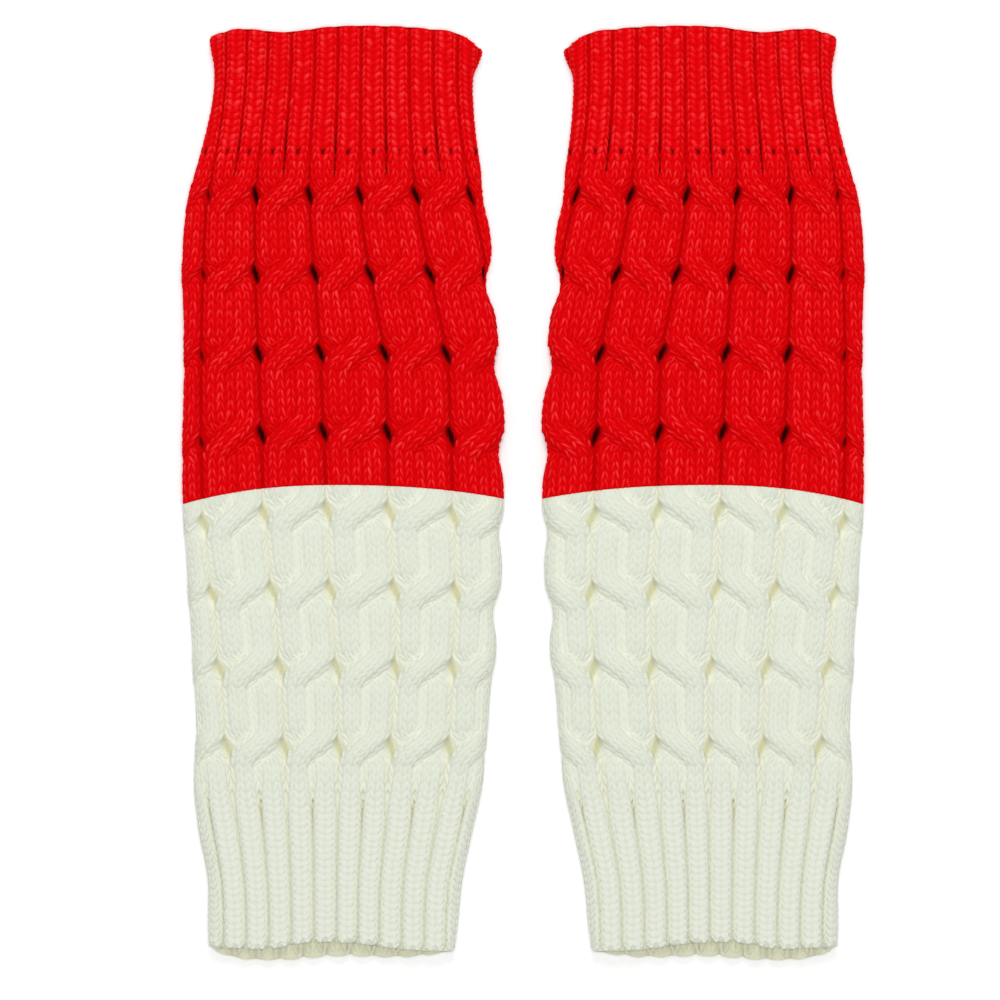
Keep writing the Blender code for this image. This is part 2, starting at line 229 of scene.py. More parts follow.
@dataclass(frozen=True)
class CablePattern:
    """Ribs in the cuffs and, between them, columns of two strands that cross again and again."""

    column_width: float = 25.5 * MM
    first_crossing: float = 73.1 * MM
    crossing_pitch: float = 33.8 * MM
    crossings: int = 8
    crossing_length: float = 0.52
    strand_spread: float = 0.25
    strand_half: float = 0.245
    rib_half: float = 0.225
    over_lift: float = 0.50
    under_dip: float = 0.55
    lift_reach: float = 0.36
    body_height: float = 0.66
    body_half: float = 0.44
    gutter_height: float = 0.38
    rib_gutter_height: float = 0.3
    ridge_power: float = 2.6
    rib_power: float = 7.0
    ridge_rounding: float = 0.6
    top_blend: tuple[float, float] = (52 * MM, 63 * MM)
    bottom_blend: tuple[float, float] = (321 * MM, 340 * MM)
    pit_half_width: float = 1.7 * MM
    pit_half_length: float = 5.5 * MM
    pit_power: float = 1.3
    pit_lean: float = 0.22
    pit_softness: tuple[float, float] = (-0.2 * MM, 0.35 * MM)
    hole_softness: tuple[float, float] = (-0.4 * MM, 0.8 * MM)
    small_share: float = 0.62
    small_lines: int = 1
    small_until: float = 195 * MM
    slit_half_width: float = 0.5 * MM
    slit_power: float = 1.6
    eyelet_station: float = 54.6 * MM
    eyelet_radius: float = 0.85 * MM
    # Painted shade in the gutters: between paired ribs, beside ribs and in the cabled columns; the next value
    # strengthens it in the bottom cuff.
    gutter_shades: tuple[float, float, float] = (0.12, 0.12, 0.24)
    bottom_gutters: float = 2.7
    gutter_reach: tuple[float, float] = (2.6 * MM, 1.1 * MM)
    top_slit: tuple[float, float] = (10 * MM, 63 * MM)
    bottom_slit: tuple[float, float] = (329 * MM, 374 * MM)

    def cabled(self, station: Numbers) -> Numbers:
        """0 where the cloth is ribbed and 1 where it is cabled."""
        return ease(station, *self.top_blend) * (1 - ease(station, *self.bottom_blend))

    def ridge(self, distance: Numbers, cabled: Numbers | float = 1.0) -> Numbers:
        """Finds the height of a round strand, or of a rib, which is steeper on its outer side.

        Args:
            distance: Distances from its middle, as shares of its half width.
            cabled: 0 for a rib and 1 for a strand.

        Returns:
            Heights from 1 in the middle to 0 at the edges.
        """
        inside = np.clip(np.abs(distance), 0, 1)
        outer_power = self.rib_power + (self.ridge_power - self.rib_power) * cabled
        power = np.where(distance < 0, outer_power, self.ridge_power)
        return (1 - inside**power) ** self.ridge_rounding

    def nearest(self, station: Numbers) -> Numbers:
        """The number of the crossing that is nearest to each station."""
        number = np.round((station - self.first_crossing) / self.crossing_pitch)
        return np.clip(number, 0, self.crossings - 1)

    def crossing(self, station: Numbers, number: Numbers | None = None) -> Crossing:
        """Finds where the strands stand in their column.

        Args:
            station: Distances down the garment.
            number: Which crossing names the strands, or None for the nearest.

        Returns:
            The strands' middles and widths as shares of a column, and how far they are lifted.
        """
        cabled = self.cabled(station)
        number = self.nearest(station) if number is None else number
        away = (station - self.first_crossing) / self.crossing_pitch - number
        u = np.clip(away / self.crossing_length + 0.5, 0, 1)
        over = 0.5 + self.strand_spread * (1 - 2 * u * u * (3 - 2 * u))
        slope = 2 * self.strand_spread * 6 * u * (1 - u) / self.crossing_length
        turn = np.arctan(slope * self.column_width / self.crossing_pitch)
        reach = np.minimum(np.abs(away) / self.lift_reach, 1)
        lift = np.cos(math.pi / 2 * reach) ** 2 * cabled
        half = self.rib_half + (self.strand_half - self.rib_half) * cabled
        return Crossing(cabled, over, 1 - over, 1 / np.cos(turn), turn, lift, half)

    def body(self, t: Numbers, at: Crossing) -> Numbers:
        """Height of the cloth that fills a column between and below its strands.

        Args:
            t: Shares of the way across a column.
            at: What the strands do there.

        Returns:
            Heights, where 1 is the crest of a straight strand.
        """
        body = self.body_height * at.cabled * self.ridge((t - 0.5) / self.body_half)
        floor = self.rib_gutter_height * (1 - at.cabled) + self.gutter_height * at.cabled * (1 - at.lift)
        return np.maximum(body, floor)

    def over_strand(self, distance: Numbers, at: Crossing) -> Numbers:
        """Height of the strand that passes over, at a share of its half width from its middle."""
        return (1 + self.over_lift * at.lift) * self.ridge(distance, at.cabled)

    def under_strand(self, distance: Numbers, at: Crossing) -> Numbers:
        """Height of the strand that passes under, at a share of its half width from its middle."""
        return (1 - self.under_dip * at.lift) * self.ridge(distance, at.cabled)

    def relief(self, column: Numbers, station: Numbers) -> Numbers:
        """Height of the knitting above its grooves.

        Args:
            column: Places round the tube, in columns.
            station: Distances down the garment.

        Returns:
            Heights, where 0 is the bottom of a groove and 1 the crest of a straight strand.
        """
        t = column - np.floor(column)
        at = self.crossing(station)
        over = self.over_strand((t - at.over) / (at.half * at.slant), at)
        under = self.under_strand((t - at.under) / at.half, at)
        return np.maximum.reduce([over, under, self.body(t, at)])

    def beside_gutter(self, column: Numbers, station: Numbers) -> tuple[Numbers, Numbers]:
        """Measures from the gutter between two columns, which opens beside each crossing.

        Args:
            column: Places round the tube, in columns.
            station: Distances down the garment.

        Returns:
            Distances in metres past the middle of the gutter, and half its open width there.
        """
        down = station - self.first_crossing - self.nearest(station) * self.crossing_pitch
        line = np.round(column)
        aside = (column - line) * self.column_width - self.pit_lean * down
        share = np.where((line <= self.small_lines) & (station < self.small_until), self.small_share, 1.0)
        spindle = np.clip(1 - (down / (share * self.pit_half_length)) ** 2, 0, 1) ** self.pit_power
        return aside, share * self.pit_half_width * spindle

    def shadow(self, aside: Numbers) -> Numbers:
        """The shade in a gutter, which spreads further over the gentle side of the rib before it."""
        before, after = self.gutter_reach
        return ease(np.where(aside < 0, -aside / before, aside / after), 1.0, 0.0)

    def pit(self, column: Numbers, station: Numbers) -> Numbers:
        """Painted shade for the openings, slits, gutters and eyelets, where the wall also sinks a little.

        Args:
            column: Places round the tube, in columns.
            station: Distances down the garment.

        Returns:
            1 in the openings beside each crossing, the slits between paired ribs and the eyelets in the ribs,
            less in the plain gutters, falling to 0.
        """
        # Painted shade: dark openings beside crossings, dark slits, shaded gutters and dark eyelets.
        aside, opening = self.beside_gutter(column, station)
        hole = ease(opening - np.abs(aside), *self.hole_softness) * (opening > 0)
        centred = (column - np.floor(column) - 0.5) * self.column_width
        middle = np.abs(centred)
        width = np.zeros_like(station)
        for first, last in (self.top_slit, self.bottom_slit):
            share = np.clip((station - first) / (last - first), 0, 1)
            wide_end = share if first < self.first_crossing else 1 - share
            within = share * (1 - share) > 0
            width = np.maximum(width, self.slit_half_width * wide_end**self.slit_power * within)
        slit = ease(width - middle, *self.pit_softness) * np.clip(width / self.pit_softness[1], 0, 1)
        cabled = self.cabled(station)
        between, beside, in_cable = self.gutter_shades
        beyond = (column - np.round(column)) * self.column_width
        ribbed = (1 - cabled) * np.where(station > self.first_crossing, self.bottom_gutters, 1.0)
        side = self.shadow(beyond) * (beside * ribbed + in_cable * cabled)
        pair = self.shadow(centred) * between * ribbed
        rib = (np.abs(2 * column - np.floor(2 * column) - 0.5) / 2) * self.column_width
        eyelet = ease(self.eyelet_radius - np.hypot(rib, station - self.eyelet_station), *self.pit_softness)
        return np.maximum.reduce([hole, slit, side, pair, eyelet])


class Spot(NamedTuple):
    """Places on the smooth outside of one leg warmer."""

    across: Numbers
    down: Numbers
    height: Numbers
    face_x: Numbers
    face_z: Numbers
    front: Numbers


@dataclass
class FlatTube:
    """The smooth flat tube that the crests of the knitting touch, sampled on columns and stations."""

    pattern: CablePattern = field(default_factory=CablePattern)
    pair_width: float = 295 * MM
    length: float = 402 * MM
    hem: float = 395 * MM
    back_wall: float = 3.0 * MM
    front_wall: float = 2.2 * MM
    slit: float = 0.6 * MM
    side_wall: float = 3.6 * MM
    rib_rise: float = 2.6 * MM
    cable_rise: float = 3.4 * MM
    under_rise: float = 1.2 * MM
    fold_under: float = 4.0 * MM
    fold_over: float = 7.5 * MM
    fold_height: float = 3.9 * MM
    turn_points: int = 24
    columns_round: int = 11
    first_column: float = -2.9
    nip_half_length: float = 8.0
    outer_draw: float = 1.3 * MM
    top_rim_reach: float = 40 * MM
    hem_reach: float = 60 * MM
    back_rim_drop: float = 0.8 * MM
    arch_station: float = 197.4 * MM
    arch_drops: tuple[float, float] = (8.2 * MM, 5.8 * MM)
    arch_middle: float = 0.48
    arch_power: float = 2.3
    arch_reach: float = 45 * MM
    rim_rounding: float = 1.3 * MM
    rim_reach: float = 3.5 * MM
    top_scallop: float = 0.9 * MM
    hem_scallop: float = 1.3 * MM
    scallop_reach: float = 9 * MM
    lobe_power: float = 0.7
    lobe_reach: tuple[float, float] = (9 * MM, 4 * MM)
    lobe_heights: tuple[float, float] = (0.4 * MM, 1.3 * MM)
    lobe_round: float = 1.6 * MM
    lobe_even: float = 0.4
    fold_draw: float = 0.4
    station_step: float = 0.8 * MM
    column_step: float = 0.025
    hollow_reach: tuple[int, int] = (4, 3)
    hollow_passes: int = 2
    hollow_depth: float = 1.3 * MM
    grid: Numbers = field(init=False, repr=False)
    hollows: Numbers = field(init=False, repr=False)

    def __post_init__(self) -> None:
        """Samples the tube once, for every later reading."""
        count = math.ceil(self.hem / self.station_step) + 1
        stations = self.station_step * np.arange(count)
        self.grid = np.array([self.ring(float(s)) for s in stations])
        columns = self.first_column + self.column_step * np.arange(self.grid.shape[1] - 1)
        column, station = np.meshgrid(columns, stations)
        height = self.pattern.relief(column, station) * self.rise(station)
        # The hollow of each place below its blurred surroundings sets painted shading in the yarn's colour:
        # darker on the red, lighter on the cream.
        around = height
        for axis, reach in ((1, self.hollow_reach[0]), (0, self.hollow_reach[1])):
            for _ in range(self.hollow_passes):
                around = sum(np.roll(around, k, axis) for k in range(-reach, reach + 1)) / (2 * reach + 1)
        hollow = np.clip((around - height) / self.hollow_depth, -1, 1)
        self.hollows = np.concatenate([hollow, hollow[:, :1]], axis=1)

    @property
    def grid_width(self) -> int:
        """How many places a course is sampled at."""
        return round(self.columns_round / self.column_step) + 1

    def hollow(self, column: Numbers, station: Numbers) -> Numbers:
        """How far a place lies below the knitting round it, from -1 on a crest to 1 in a groove.

        Args:
            column: Places round the tube, in columns.
            station: Distances down the garment.

        Returns:
            The hollow at each place.
        """
        c = (column - self.first_column) % self.columns_round
        j = np.round(c / self.column_step).astype(int)
        i = np.round(np.clip(station, 0, self.hem) / self.station_step).astype(int)
        return self.hollows[np.clip(i, 0, len(self.hollows) - 1), j]

    def side_edges(self, outer_down: float, inner_down: float) -> tuple[float, float]:
        """The outer and inner side of the flat tube, each at its own distance down.

        Args:
            outer_down: Distance down of the outer side.
            inner_down: Distance down of the inner side.

        Returns:
            The places across of the two sides.
        """
        down = column_of(SIDES, "down")
        outer = glide(np.array(outer_down / MM), down, column_of(SIDES, "outer"))
        inner = glide(np.array(inner_down / MM), down, column_of(SIDES, "inner"))
        for nip in NIPS:
            away = (inner_down / MM - nip.down) / self.nip_half_length
            inner = inner - nip.depth * math.exp(-(away**2))
        return float(outer) * MM + self.outer_draw, float(inner) * MM

    def course_drop(self, station: float, share: Numbers, front: Numbers) -> Numbers:
        """How far below its station a course runs.

        Args:
            station: The course's distance down.
            share: Shares of the width, from the outer side.
            front: 1 on the front panel and 0 on the back panel.

        Returns:
            The drop in metres at each share.
        """
        top_weight = np.clip(1 - station / self.top_rim_reach, 0, 1) ** 2
        hem_weight = np.clip(1 - (self.hem - station) / self.hem_reach, 0, 1) ** 2
        drops = [
            glide(share, column_of(table, "share"), column_of(table, "drop")) * MM
            for table in (TOP_RIM, FRONT_HEM, BACK_HEM)
        ]
        top_drop = drops[0] + (1 - front) * self.back_rim_drop
        hem_drop = front * drops[1] + (1 - front) * drops[2]
        outer_part = np.clip(1 - share / self.arch_middle, 0, 1) ** self.arch_power
        inner_part = np.clip((share - self.arch_middle) / (1 - self.arch_middle), 0, 1) ** self.arch_power
        arch = self.arch_drops[0] * outer_part + self.arch_drops[1] * inner_part
        arch_weight = math.exp(-(((station - self.arch_station) / self.arch_reach) ** 2))
        return top_drop * top_weight + hem_drop * hem_weight + arch * arch_weight

    def rim_fall(self, station: float) -> float:
        """How much lower the cloth stands close to its two rims."""
        u = np.clip(1 - min(station, self.hem - station) / self.rim_reach, 0, 1)
        return self.rim_rounding * (1 - math.sqrt(1 - u * u))

    def rise(self, station: Numbers) -> Numbers:
        """Height in metres of the ribs or strands above their grooves."""
        return self.rib_rise + (self.cable_rise - self.rib_rise) * self.pattern.cabled(station)

    def sizes(self, station: float) -> tuple[float, float, float]:
        """Outer side, inner side and crest height of the cloth at one station.

        Args:
            station: A course's distance down.

        Returns:
            The two places across, and the height above the floor.
        """
        drops = self.course_drop(station, np.array([0.0, 1.0]), np.array(0.5))
        outer, inner = self.side_edges(station + float(drops[0]), station + float(drops[1]))
        wall = self.back_wall + self.slit + self.front_wall
        return outer, inner, wall + float(self.rise(np.array(station))) - self.rim_fall(station)

    def envelope(self, outer: float, inner: float, top: float) -> tuple[Numbers, ...]:
        """Follows one course from the floor over the front to the floor.

        Args:
            outer: The outer side's place across.
            inner: The inner side's place across.
            top: Height of the crests on the front.

        Returns:
            Distance along, place across, height, and the X and Z of the direction out of the cloth.
        """
        turn = np.linspace(0, math.pi / 2, self.turn_points)
        x = np.concatenate([self.fold_under * (1 - np.sin(turn)), self.fold_over * (1 - np.cos(turn[1:]))])
        over = self.fold_height + (top - self.fold_height) * np.sin(turn[1:])
        z = np.concatenate([self.fold_height * (1 - np.cos(turn)), over])
        nx = np.concatenate([-np.sin(turn), -np.cos(turn[1:])])
        nz = np.concatenate([-np.cos(turn), np.sin(turn[1:])])
        length = np.concatenate([[0], np.cumsum(np.hypot(np.diff(x), np.diff(z)))])
        start = outer + self.fold_over - length[-1]
        finish = inner - self.fold_over + length[-1]
        along = np.concatenate([start + length, finish - length[::-1]])
        across = np.concatenate([outer + x, inner - x[::-1]])
        height = np.concatenate([z, z[::-1]])
        return along, across, height, np.concatenate([nx, -nx[::-1]]), np.concatenate([nz, nz[::-1]])

    def columns_to_along(self, columns: Numbers, station: float) -> Numbers:
        """Where each column line lies, measured across the front and on round the folds.

        Args:
            columns: Places round the tube, in columns.
            station: The course's distance down.

        Returns:
            Distances along the course, zero at the straight outer side.
        """
        down = column_of(GROOVES, "down")
        where = np.array(station / MM)
        places = [float(glide(where, down, column_of(GROOVES, name))) * MM for name in Grooves._fields[1:]]
        before = 2 * places[0] - places[1]
        after = 2 * places[-1] - places[-2]
        known = np.array([before, *places, after])
        lines = np.arange(len(known))
        along = np.interp(columns, lines, known)
        along = np.where(columns < 0, before + columns * (known[1] - before), along)
        beyond = after + (columns - lines[-1]) * (after - known[-2])
        return np.where(columns > lines[-1], beyond, along)

    def ring(self, station: float) -> Numbers:
        """Samples one whole course.

        Args:
            station: The course's distance down.

        Returns:
            One row per column step, with the fields of Spot.
        """
        outer, inner, top = self.sizes(station)
        along, across, height, face_x, face_z = self.envelope(outer, inner, top)
        columns = self.first_column + self.column_step * np.arange(self.grid_width)
        want = self.columns_to_along(columns, station)
        low, high = np.interp([along[0], along[-1]], want, columns)
        x, z, nx, nz = (np.interp(want, along, line) for line in (across, height, face_x, face_z))
        span = self.columns_round - (high - low)
        below = np.where(columns < low, low - columns, high - columns + span)
        beneath = (columns < low) | (columns > high)
        floor_x = across[0] + (across[-1] - across[0]) * below / span
        x = np.where(beneath, floor_x, x)
        z = np.where(beneath, 0.0, z)
        nx = np.where(beneath, 0.0, nx)
        nz = np.where(beneath, -1.0, nz)
        front = ease(z, 0.0, self.fold_height)
        share = np.clip((x - outer) / (inner - outer), 0, 1)
        down = station + self.course_drop(station, share, front)
        return np.column_stack([x, down, z, nx, nz, front])

    def back_scale(self, station: float) -> tuple[float, float]:
        """The column at zero across on the inside of the back panel, and the columns a metre from there.

        Args:
            station: The course's distance down.

        Returns:
            The column, and how many columns a metre holds.
        """
        outer, inner, top = self.sizes(station)
        along, across, *_ = self.envelope(outer, inner, top)
        columns = self.first_column + self.column_step * np.arange(self.grid_width)
        low, high = np.interp([along[0], along[-1]], self.columns_to_along(columns, station), columns)
        rate = -(self.columns_round - (high - low)) / (across[-1] - across[0])
        return float(low - rate * across[0]), float(rate)

    def back_inside(self, station: float, x: Numbers) -> tuple[Numbers, Numbers]:
        """How far the back panel's inside swells between its grooves, most where it shows below the hem.

        Args:
            station: The course's distance down.
            x: Places across.

        Returns:
            Heights above the plain inside, and how far down each place is drawn up.
        """
        start, rate = self.back_scale(station)
        lobe = np.abs(np.sin(2 * math.pi * (start + rate * x))) ** self.lobe_power
        shown = float(ease(np.array(station), self.hem - self.lobe_reach[0], self.hem - self.lobe_reach[1]))
        height = self.lobe_heights[0] + (self.lobe_heights[1] - self.lobe_heights[0]) * shown
        fall = self.lobe_round * float(ease(np.array(station), self.hem - self.lobe_reach[1], self.hem))
        scallop = self.hem_scallop * float(ease(np.array(self.hem - station), self.scallop_reach, 0.0))
        sunk = self.lobe_even + (1 - self.lobe_even) * (1 - lobe)
        return height * lobe - fall * sunk, scallop * (1 - lobe)

    def spot(self, column: Numbers, station: Numbers) -> Spot:
        """Reads the smooth tube between its samples.

        Args:
            column: Places round the tube, in columns.
            station: Distances down the garment.

        Returns:
            The place and the direction that faces out, at each of them.
        """
        seam = self.first_column + self.columns_round
        c = np.where(column >= seam, column - self.columns_round, column)
        c = np.where(c < self.first_column, c + self.columns_round, c)
        j = (c - self.first_column) / self.column_step
        i = np.clip(station, 0, self.hem) / self.station_step
        j0 = np.clip(j.astype(int), 0, self.grid.shape[1] - 2)
        i0 = np.clip(i.astype(int), 0, self.grid.shape[0] - 2)
        v, u = (j - j0)[..., None], (i - i0)[..., None]
        upper = self.grid[i0, j0] * (1 - v) + self.grid[i0, j0 + 1] * v
        lower = self.grid[i0 + 1, j0] * (1 - v) + self.grid[i0 + 1, j0 + 1] * v
        return Spot(*np.moveaxis(upper * (1 - u) + lower * u, -1, 0))

    def place(self, column: Numbers, station: Numbers, relief: Numbers, sink: Numbers | float) -> Numbers:
        """Puts points on the knitting.

        Args:
            column: Places round the tube, in columns.
            station: Distances down the garment.
            relief: Height of the knitting there, where 1 is a crest.
            sink: How far in metres the points lie inside the cloth's face.

        Returns:
            Points in space for the left leg warmer.
        """
        at = self.spot(column, station)
        front = (1 - relief) * self.rise(station)
        front = np.where(front < 0, front * np.clip(at.face_z, 0, 1), front)
        under = (1 - np.minimum(relief, 1)) * self.under_rise
        depth = at.front * front + (1 - at.front) * under + sink
        x = at.across - self.fold_draw * at.face_x * depth - self.pair_width / 2
        z = np.maximum(at.height - at.face_z * depth, 0.0)
        top = self.top_scallop * ease(station, self.scallop_reach, 0.0)
        low = self.hem_scallop * ease(self.hem - station, self.scallop_reach, 0.0)
        draw = (1 - np.clip(relief, 0, 1)) * (top - low)
        return np.stack([x, self.length / 2 - at.down - draw, z], axis=-1)


def closed_piece(name: str, points: Numbers, triangles: NDArray[np.int64], hand: Hand) -> bpy.types.Object:
    """Makes one object out of points and triangles.

    Args:
        name: The object's name.
        points: Points of the left leg warmer's piece.
        triangles: Three indices a face, facing outward on the left.
        hand: Mirrors the piece for the right leg warmer.

    Returns:
        The new object, at the origin, shaded smooth.
    """
    mesh = bpy.data.meshes.new(name)
    mesh.vertices.add(len(points))
    mesh.vertices.foreach_set("co", (points * [hand.value, 1, 1]).ravel())
    corners = triangles if hand is Hand.LEFT else triangles[:, ::-1]
    mesh.loops.add(corners.size)
    mesh.loops.foreach_set("vertex_index", corners.ravel())
    mesh.polygons.add(len(corners))
    mesh.polygons.foreach_set("loop_start", np.arange(0, corners.size, 3))
    mesh.update(calc_edges=True)
    mesh.validate()
    mesh.shade_smooth()
    piece = bpy.data.objects.new(name, mesh)
    bpy.context.scene.collection.objects.link(piece)
    return piece


def paint(piece: bpy.types.Object, name: str, values: Numbers) -> None:
    """Keeps one number for each point of a piece, for its material to read."""
    layer = piece.data.attributes.new(name, "FLOAT", "POINT")
    layer.data.foreach_set("value", np.ascontiguousarray(values, np.float32))


@dataclass
class ClothWall:
    """The thin closed wall of cloth below the stitches of one piece."""

    tube: FlatTube
    lines: tuple[float, ...] = (
        0.0, 0.03, 0.06, 0.11, 0.16, 0.21, 0.25, 0.29, 0.34, 0.4, 0.45, 0.48,
        0.5, 0.53, 0.56, 0.61, 0.66, 0.71, 0.75, 0.79, 0.84, 0.9, 0.95, 0.98,
    )
    lines_beneath: tuple[float, ...] = (0.0, 0.125, 0.25, 0.375, 0.5, 0.625, 0.75, 0.875)
    beneath: tuple[float, float] = (-1.5, 6.9)
    row_step: float = 1.0 * MM
    inner_step: float = 6 * MM
    inner_points: int = 13
    lower_points: int = 97
    sink: float = 0.28 * MM
    depth: float = 1.0
    tone: float = 0.15
    pit_relief: float = 0.2
    # Painted shade: the tube's inside gets a middle hollow and much of the openings' shadow colour, and the
    # bare wall between legs a little of it.
    inside_hollow: float = 0.5
    inside_shade: float = 0.6
    gap_shade: float = 0.14
    sharp_angle: float = math.radians(65)

    def columns(self) -> Numbers:
        """Column lines round the tube, close together on the front and wider apart beneath.

        Returns:
            The lines in order, in columns.
        """
        first = self.tube.first_column
        last = first + self.tube.columns_round
        low, high = self.beneath
        whole = np.arange(math.floor(first), math.ceil(last))[:, None]
        fine, coarse = (whole + np.array(lines) for lines in (self.lines, self.lines_beneath))
        seen = fine[(fine >= low) & (fine < high)]
        hidden = coarse[((coarse >= first) & (coarse < low)) | ((coarse >= high) & (coarse < last))]
        return np.sort(np.concatenate([seen, hidden]))

    def inside(self, station: float) -> Numbers:
        """The plain inside of one course: below the front panel, then back over the back panel.

        Args:
            station: The course's distance down.

        Returns:
            Points in space for the left leg warmer.
        """
        tube = self.tube
        outer, inner, _ = tube.sizes(station)
        ends = (outer + tube.side_wall, inner - tube.side_wall)
        across = np.linspace(*ends, self.inner_points)
        upper = np.full(self.inner_points, tube.back_wall + tube.slit)
        upper[[0, -1]] = tube.back_wall + tube.slit / 2
        lower = np.linspace(*ends, self.lower_points)[-2:0:-1]
        swell, draw = tube.back_inside(station, lower)
        x = np.concatenate([across, lower])
        z = np.concatenate([upper, tube.back_wall + swell])
        front = np.concatenate([np.ones(self.inner_points), np.zeros(len(lower))])
        front[[0, self.inner_points - 1]] = 0.5
        share = np.clip((x - outer) / (inner - outer), 0, 1)
        down = station + tube.course_drop(station, share, front)
        down[self.inner_points:] -= draw
        return np.column_stack([x - tube.pair_width / 2, tube.length / 2 - down, z])

    @staticmethod
    def grid_faces(rows: int, count: int, first: int, outward: bool) -> NDArray[np.int64]:
        """Triangles between rings of points.

        Args:
            rows: How many rings there are.
            count: Points in each ring.
            first: Index of the first point.
            outward: Whether the faces point out of the tube.

        Returns:
            Three indices a face.
        """
        ring, row = np.meshgrid(np.arange(count), np.arange(rows - 1))
        a = first + row * count + ring
        b = first + row * count + (ring + 1) % count
        c, d = a + count, b + count
        halves = [np.stack(corners, -1).reshape(-1, 3) for corners in ([a, c, b], [b, c, d])]
        faces = np.concatenate(halves)
        return faces if outward else faces[:, ::-1]

    @staticmethod
    def way_round(points: Numbers) -> tuple[NDArray[np.int64], Numbers]:
        """A ring's points in order from the outer side, and their shares of the way round.

        Args:
            points: The ring's points.

        Returns:
            The order as indices, and the shares in that order.
        """
        x = points[:, 0]
        first, last = int(np.argmin(x)), int(np.argmax(x))
        order = np.arange(len(x))
        share = (x - x[first]) / (x[last] - x[first])
        over = (order - first) % len(x) <= (last - first) % len(x)
        way = np.where(over, share / 2, 1 - share / 2) % 1
        turned = np.roll(order, -first)
        return turned, np.maximum.accumulate(way[turned])

    def rim_faces(
        self, outer: Numbers, inner: Numbers, starts: tuple[int, int], upward: bool
    ) -> list[list[int]]:
        """Closes a rim between an outside ring and an inside ring of fewer points.

        Args:
            outer: Points of the outside ring.
            inner: Points of the inside ring.
            starts: Index of each ring's first point.
            upward: Whether the rim faces up the garment.

        Returns:
            Three indices a face.
        """
        (out, out_way), (into, in_way) = self.way_round(outer), self.way_round(inner)
        faces: list[list[int]] = []
        i = j = 0
        while i < len(out) or j < len(into):
            next_out = out_way[i + 1] if i + 1 < len(out) else 1.0
            next_in = in_way[j + 1] if j + 1 < len(into) else 1.0
            corners = [starts[0] + int(out[i % len(out)]), starts[1] + int(into[j % len(into)])]
            if j >= len(into) or (i < len(out) and next_out <= next_in):
                i += 1
                corners.append(starts[0] + int(out[i % len(out)]))
            else:
                j += 1
                corners.append(starts[1] + int(into[j % len(into)]))
            faces.append(corners[::-1] if upward else corners)
        return faces

    def build(self, name: str, first: float, last: float, hand: Hand) -> bpy.types.Object:
        """Makes the wall between two stations.

        Args:
            name: The piece's name.
            first: Station of its upper end.
            last: Station of its lower end.
            hand: Which leg warmer it is for.

        Returns:
            The closed wall, with its hollows, the painted shade of its openings and gutters, and its tone
            kept on its points.
        """
        tube, columns = self.tube, self.columns()
        stations = np.linspace(first, last, round((last - first) / self.row_step) + 1)
        column, station = np.meshgrid(columns, stations)
        relief = tube.pattern.relief(column, station)
        pit = tube.pattern.pit(column, station)
        outside = tube.place(column, station, relief - self.pit_relief * pit, self.depth * self.sink)
        inner_stations = np.linspace(first, last, max(2, round((last - first) / self.inner_step)))
        inside = np.array([self.inside(float(s)) for s in inner_stations])
        start = outside.shape[0] * outside.shape[1]
        ends = (start - outside.shape[1], start + (inside.shape[0] - 1) * inside.shape[1])
        faces = np.concatenate(
            [
                self.grid_faces(*outside.shape[:2], 0, outward=True),
                self.grid_faces(*inside.shape[:2], start, outward=False),
                self.rim_faces(outside[0], inside[0], (0, start), upward=True),
                self.rim_faces(outside[-1], inside[-1], ends, upward=False),
            ]
        )
        points = np.concatenate([outside.reshape(-1, 3), inside.reshape(-1, 3)])
        piece = closed_piece(name, points, faces, hand)
        piece.data.set_sharp_from_angle(angle=self.sharp_angle)
        # Painted shade kept on the points: by hollow, in the openings and gutters, between the legs and on
        # the inside.
        plain = np.zeros(inside.shape[0] * inside.shape[1])
        hollow, pit = tube.hollow(column, station).ravel(), np.maximum(pit, self.gap_shade).ravel()
        paint(piece, "hollow", np.concatenate([hollow, plain + self.inside_hollow]))
        paint(piece, "pit", np.concatenate([pit, plain + self.inside_shade]))
        paint(piece, "tone", np.full(len(points), self.tone))
        return piece


class Wale(NamedTuple):
    """One line of stitches along a strand that passes over, mirrored on one that passes under.

    The places across and half widths are shares of the strand's or the rib's half width. A wale that
    gives way lies aside of an opening. One that isn't ribbed ends where the ribs begin.
    """

    middle: float
    rib_middle: float
    half: float
    rib_half: float
    gives_way: bool
    ribbed: bool


class Legs(NamedTuple):
    """Legs of yarn: four points each, the directions of their rings, and where they stand."""

    points: Numbers
    sideways: Numbers
    outward: Numbers
    width: Numbers
    tone: Numbers
    column: Numbers
    station: Numbers


def unit(vectors: Numbers) -> Numbers:
    """The same directions with a length of 1."""
    return vectors / np.linalg.norm(vectors, axis=-1, keepdims=True)


@dataclass
class WaleSide:
    """One side of the stitches of one wale, in all its courses and columns.

    Its way is -1 for the legs on the outer side of the wale and 1 for the inner side.
    """

    wale: Wale
    over: bool
    way: int
    column: Numbers
    station: Numbers
    number: Numbers
    at: Crossing

    @property
    def middle(self) -> Numbers:
        """Where the wale lies on its strand or rib, as a share of its half width."""
        ribbed, cabled = self.wale.rib_middle, self.wale.middle
        return (ribbed + (cabled - ribbed) * self.at.cabled) * (1 if self.over else -1)

    @property
    def half(self) -> Numbers:
        """Half the wale's width, as the same share."""
        return self.wale.rib_half + (self.wale.half - self.wale.rib_half) * self.at.cabled

    def strand(self, here: Crossing) -> tuple[Numbers, Numbers]:
        """The middle and half width of the wale's strand, as shares of a column."""
        return (here.over, here.half * here.slant) if self.over else (here.under, here.half)


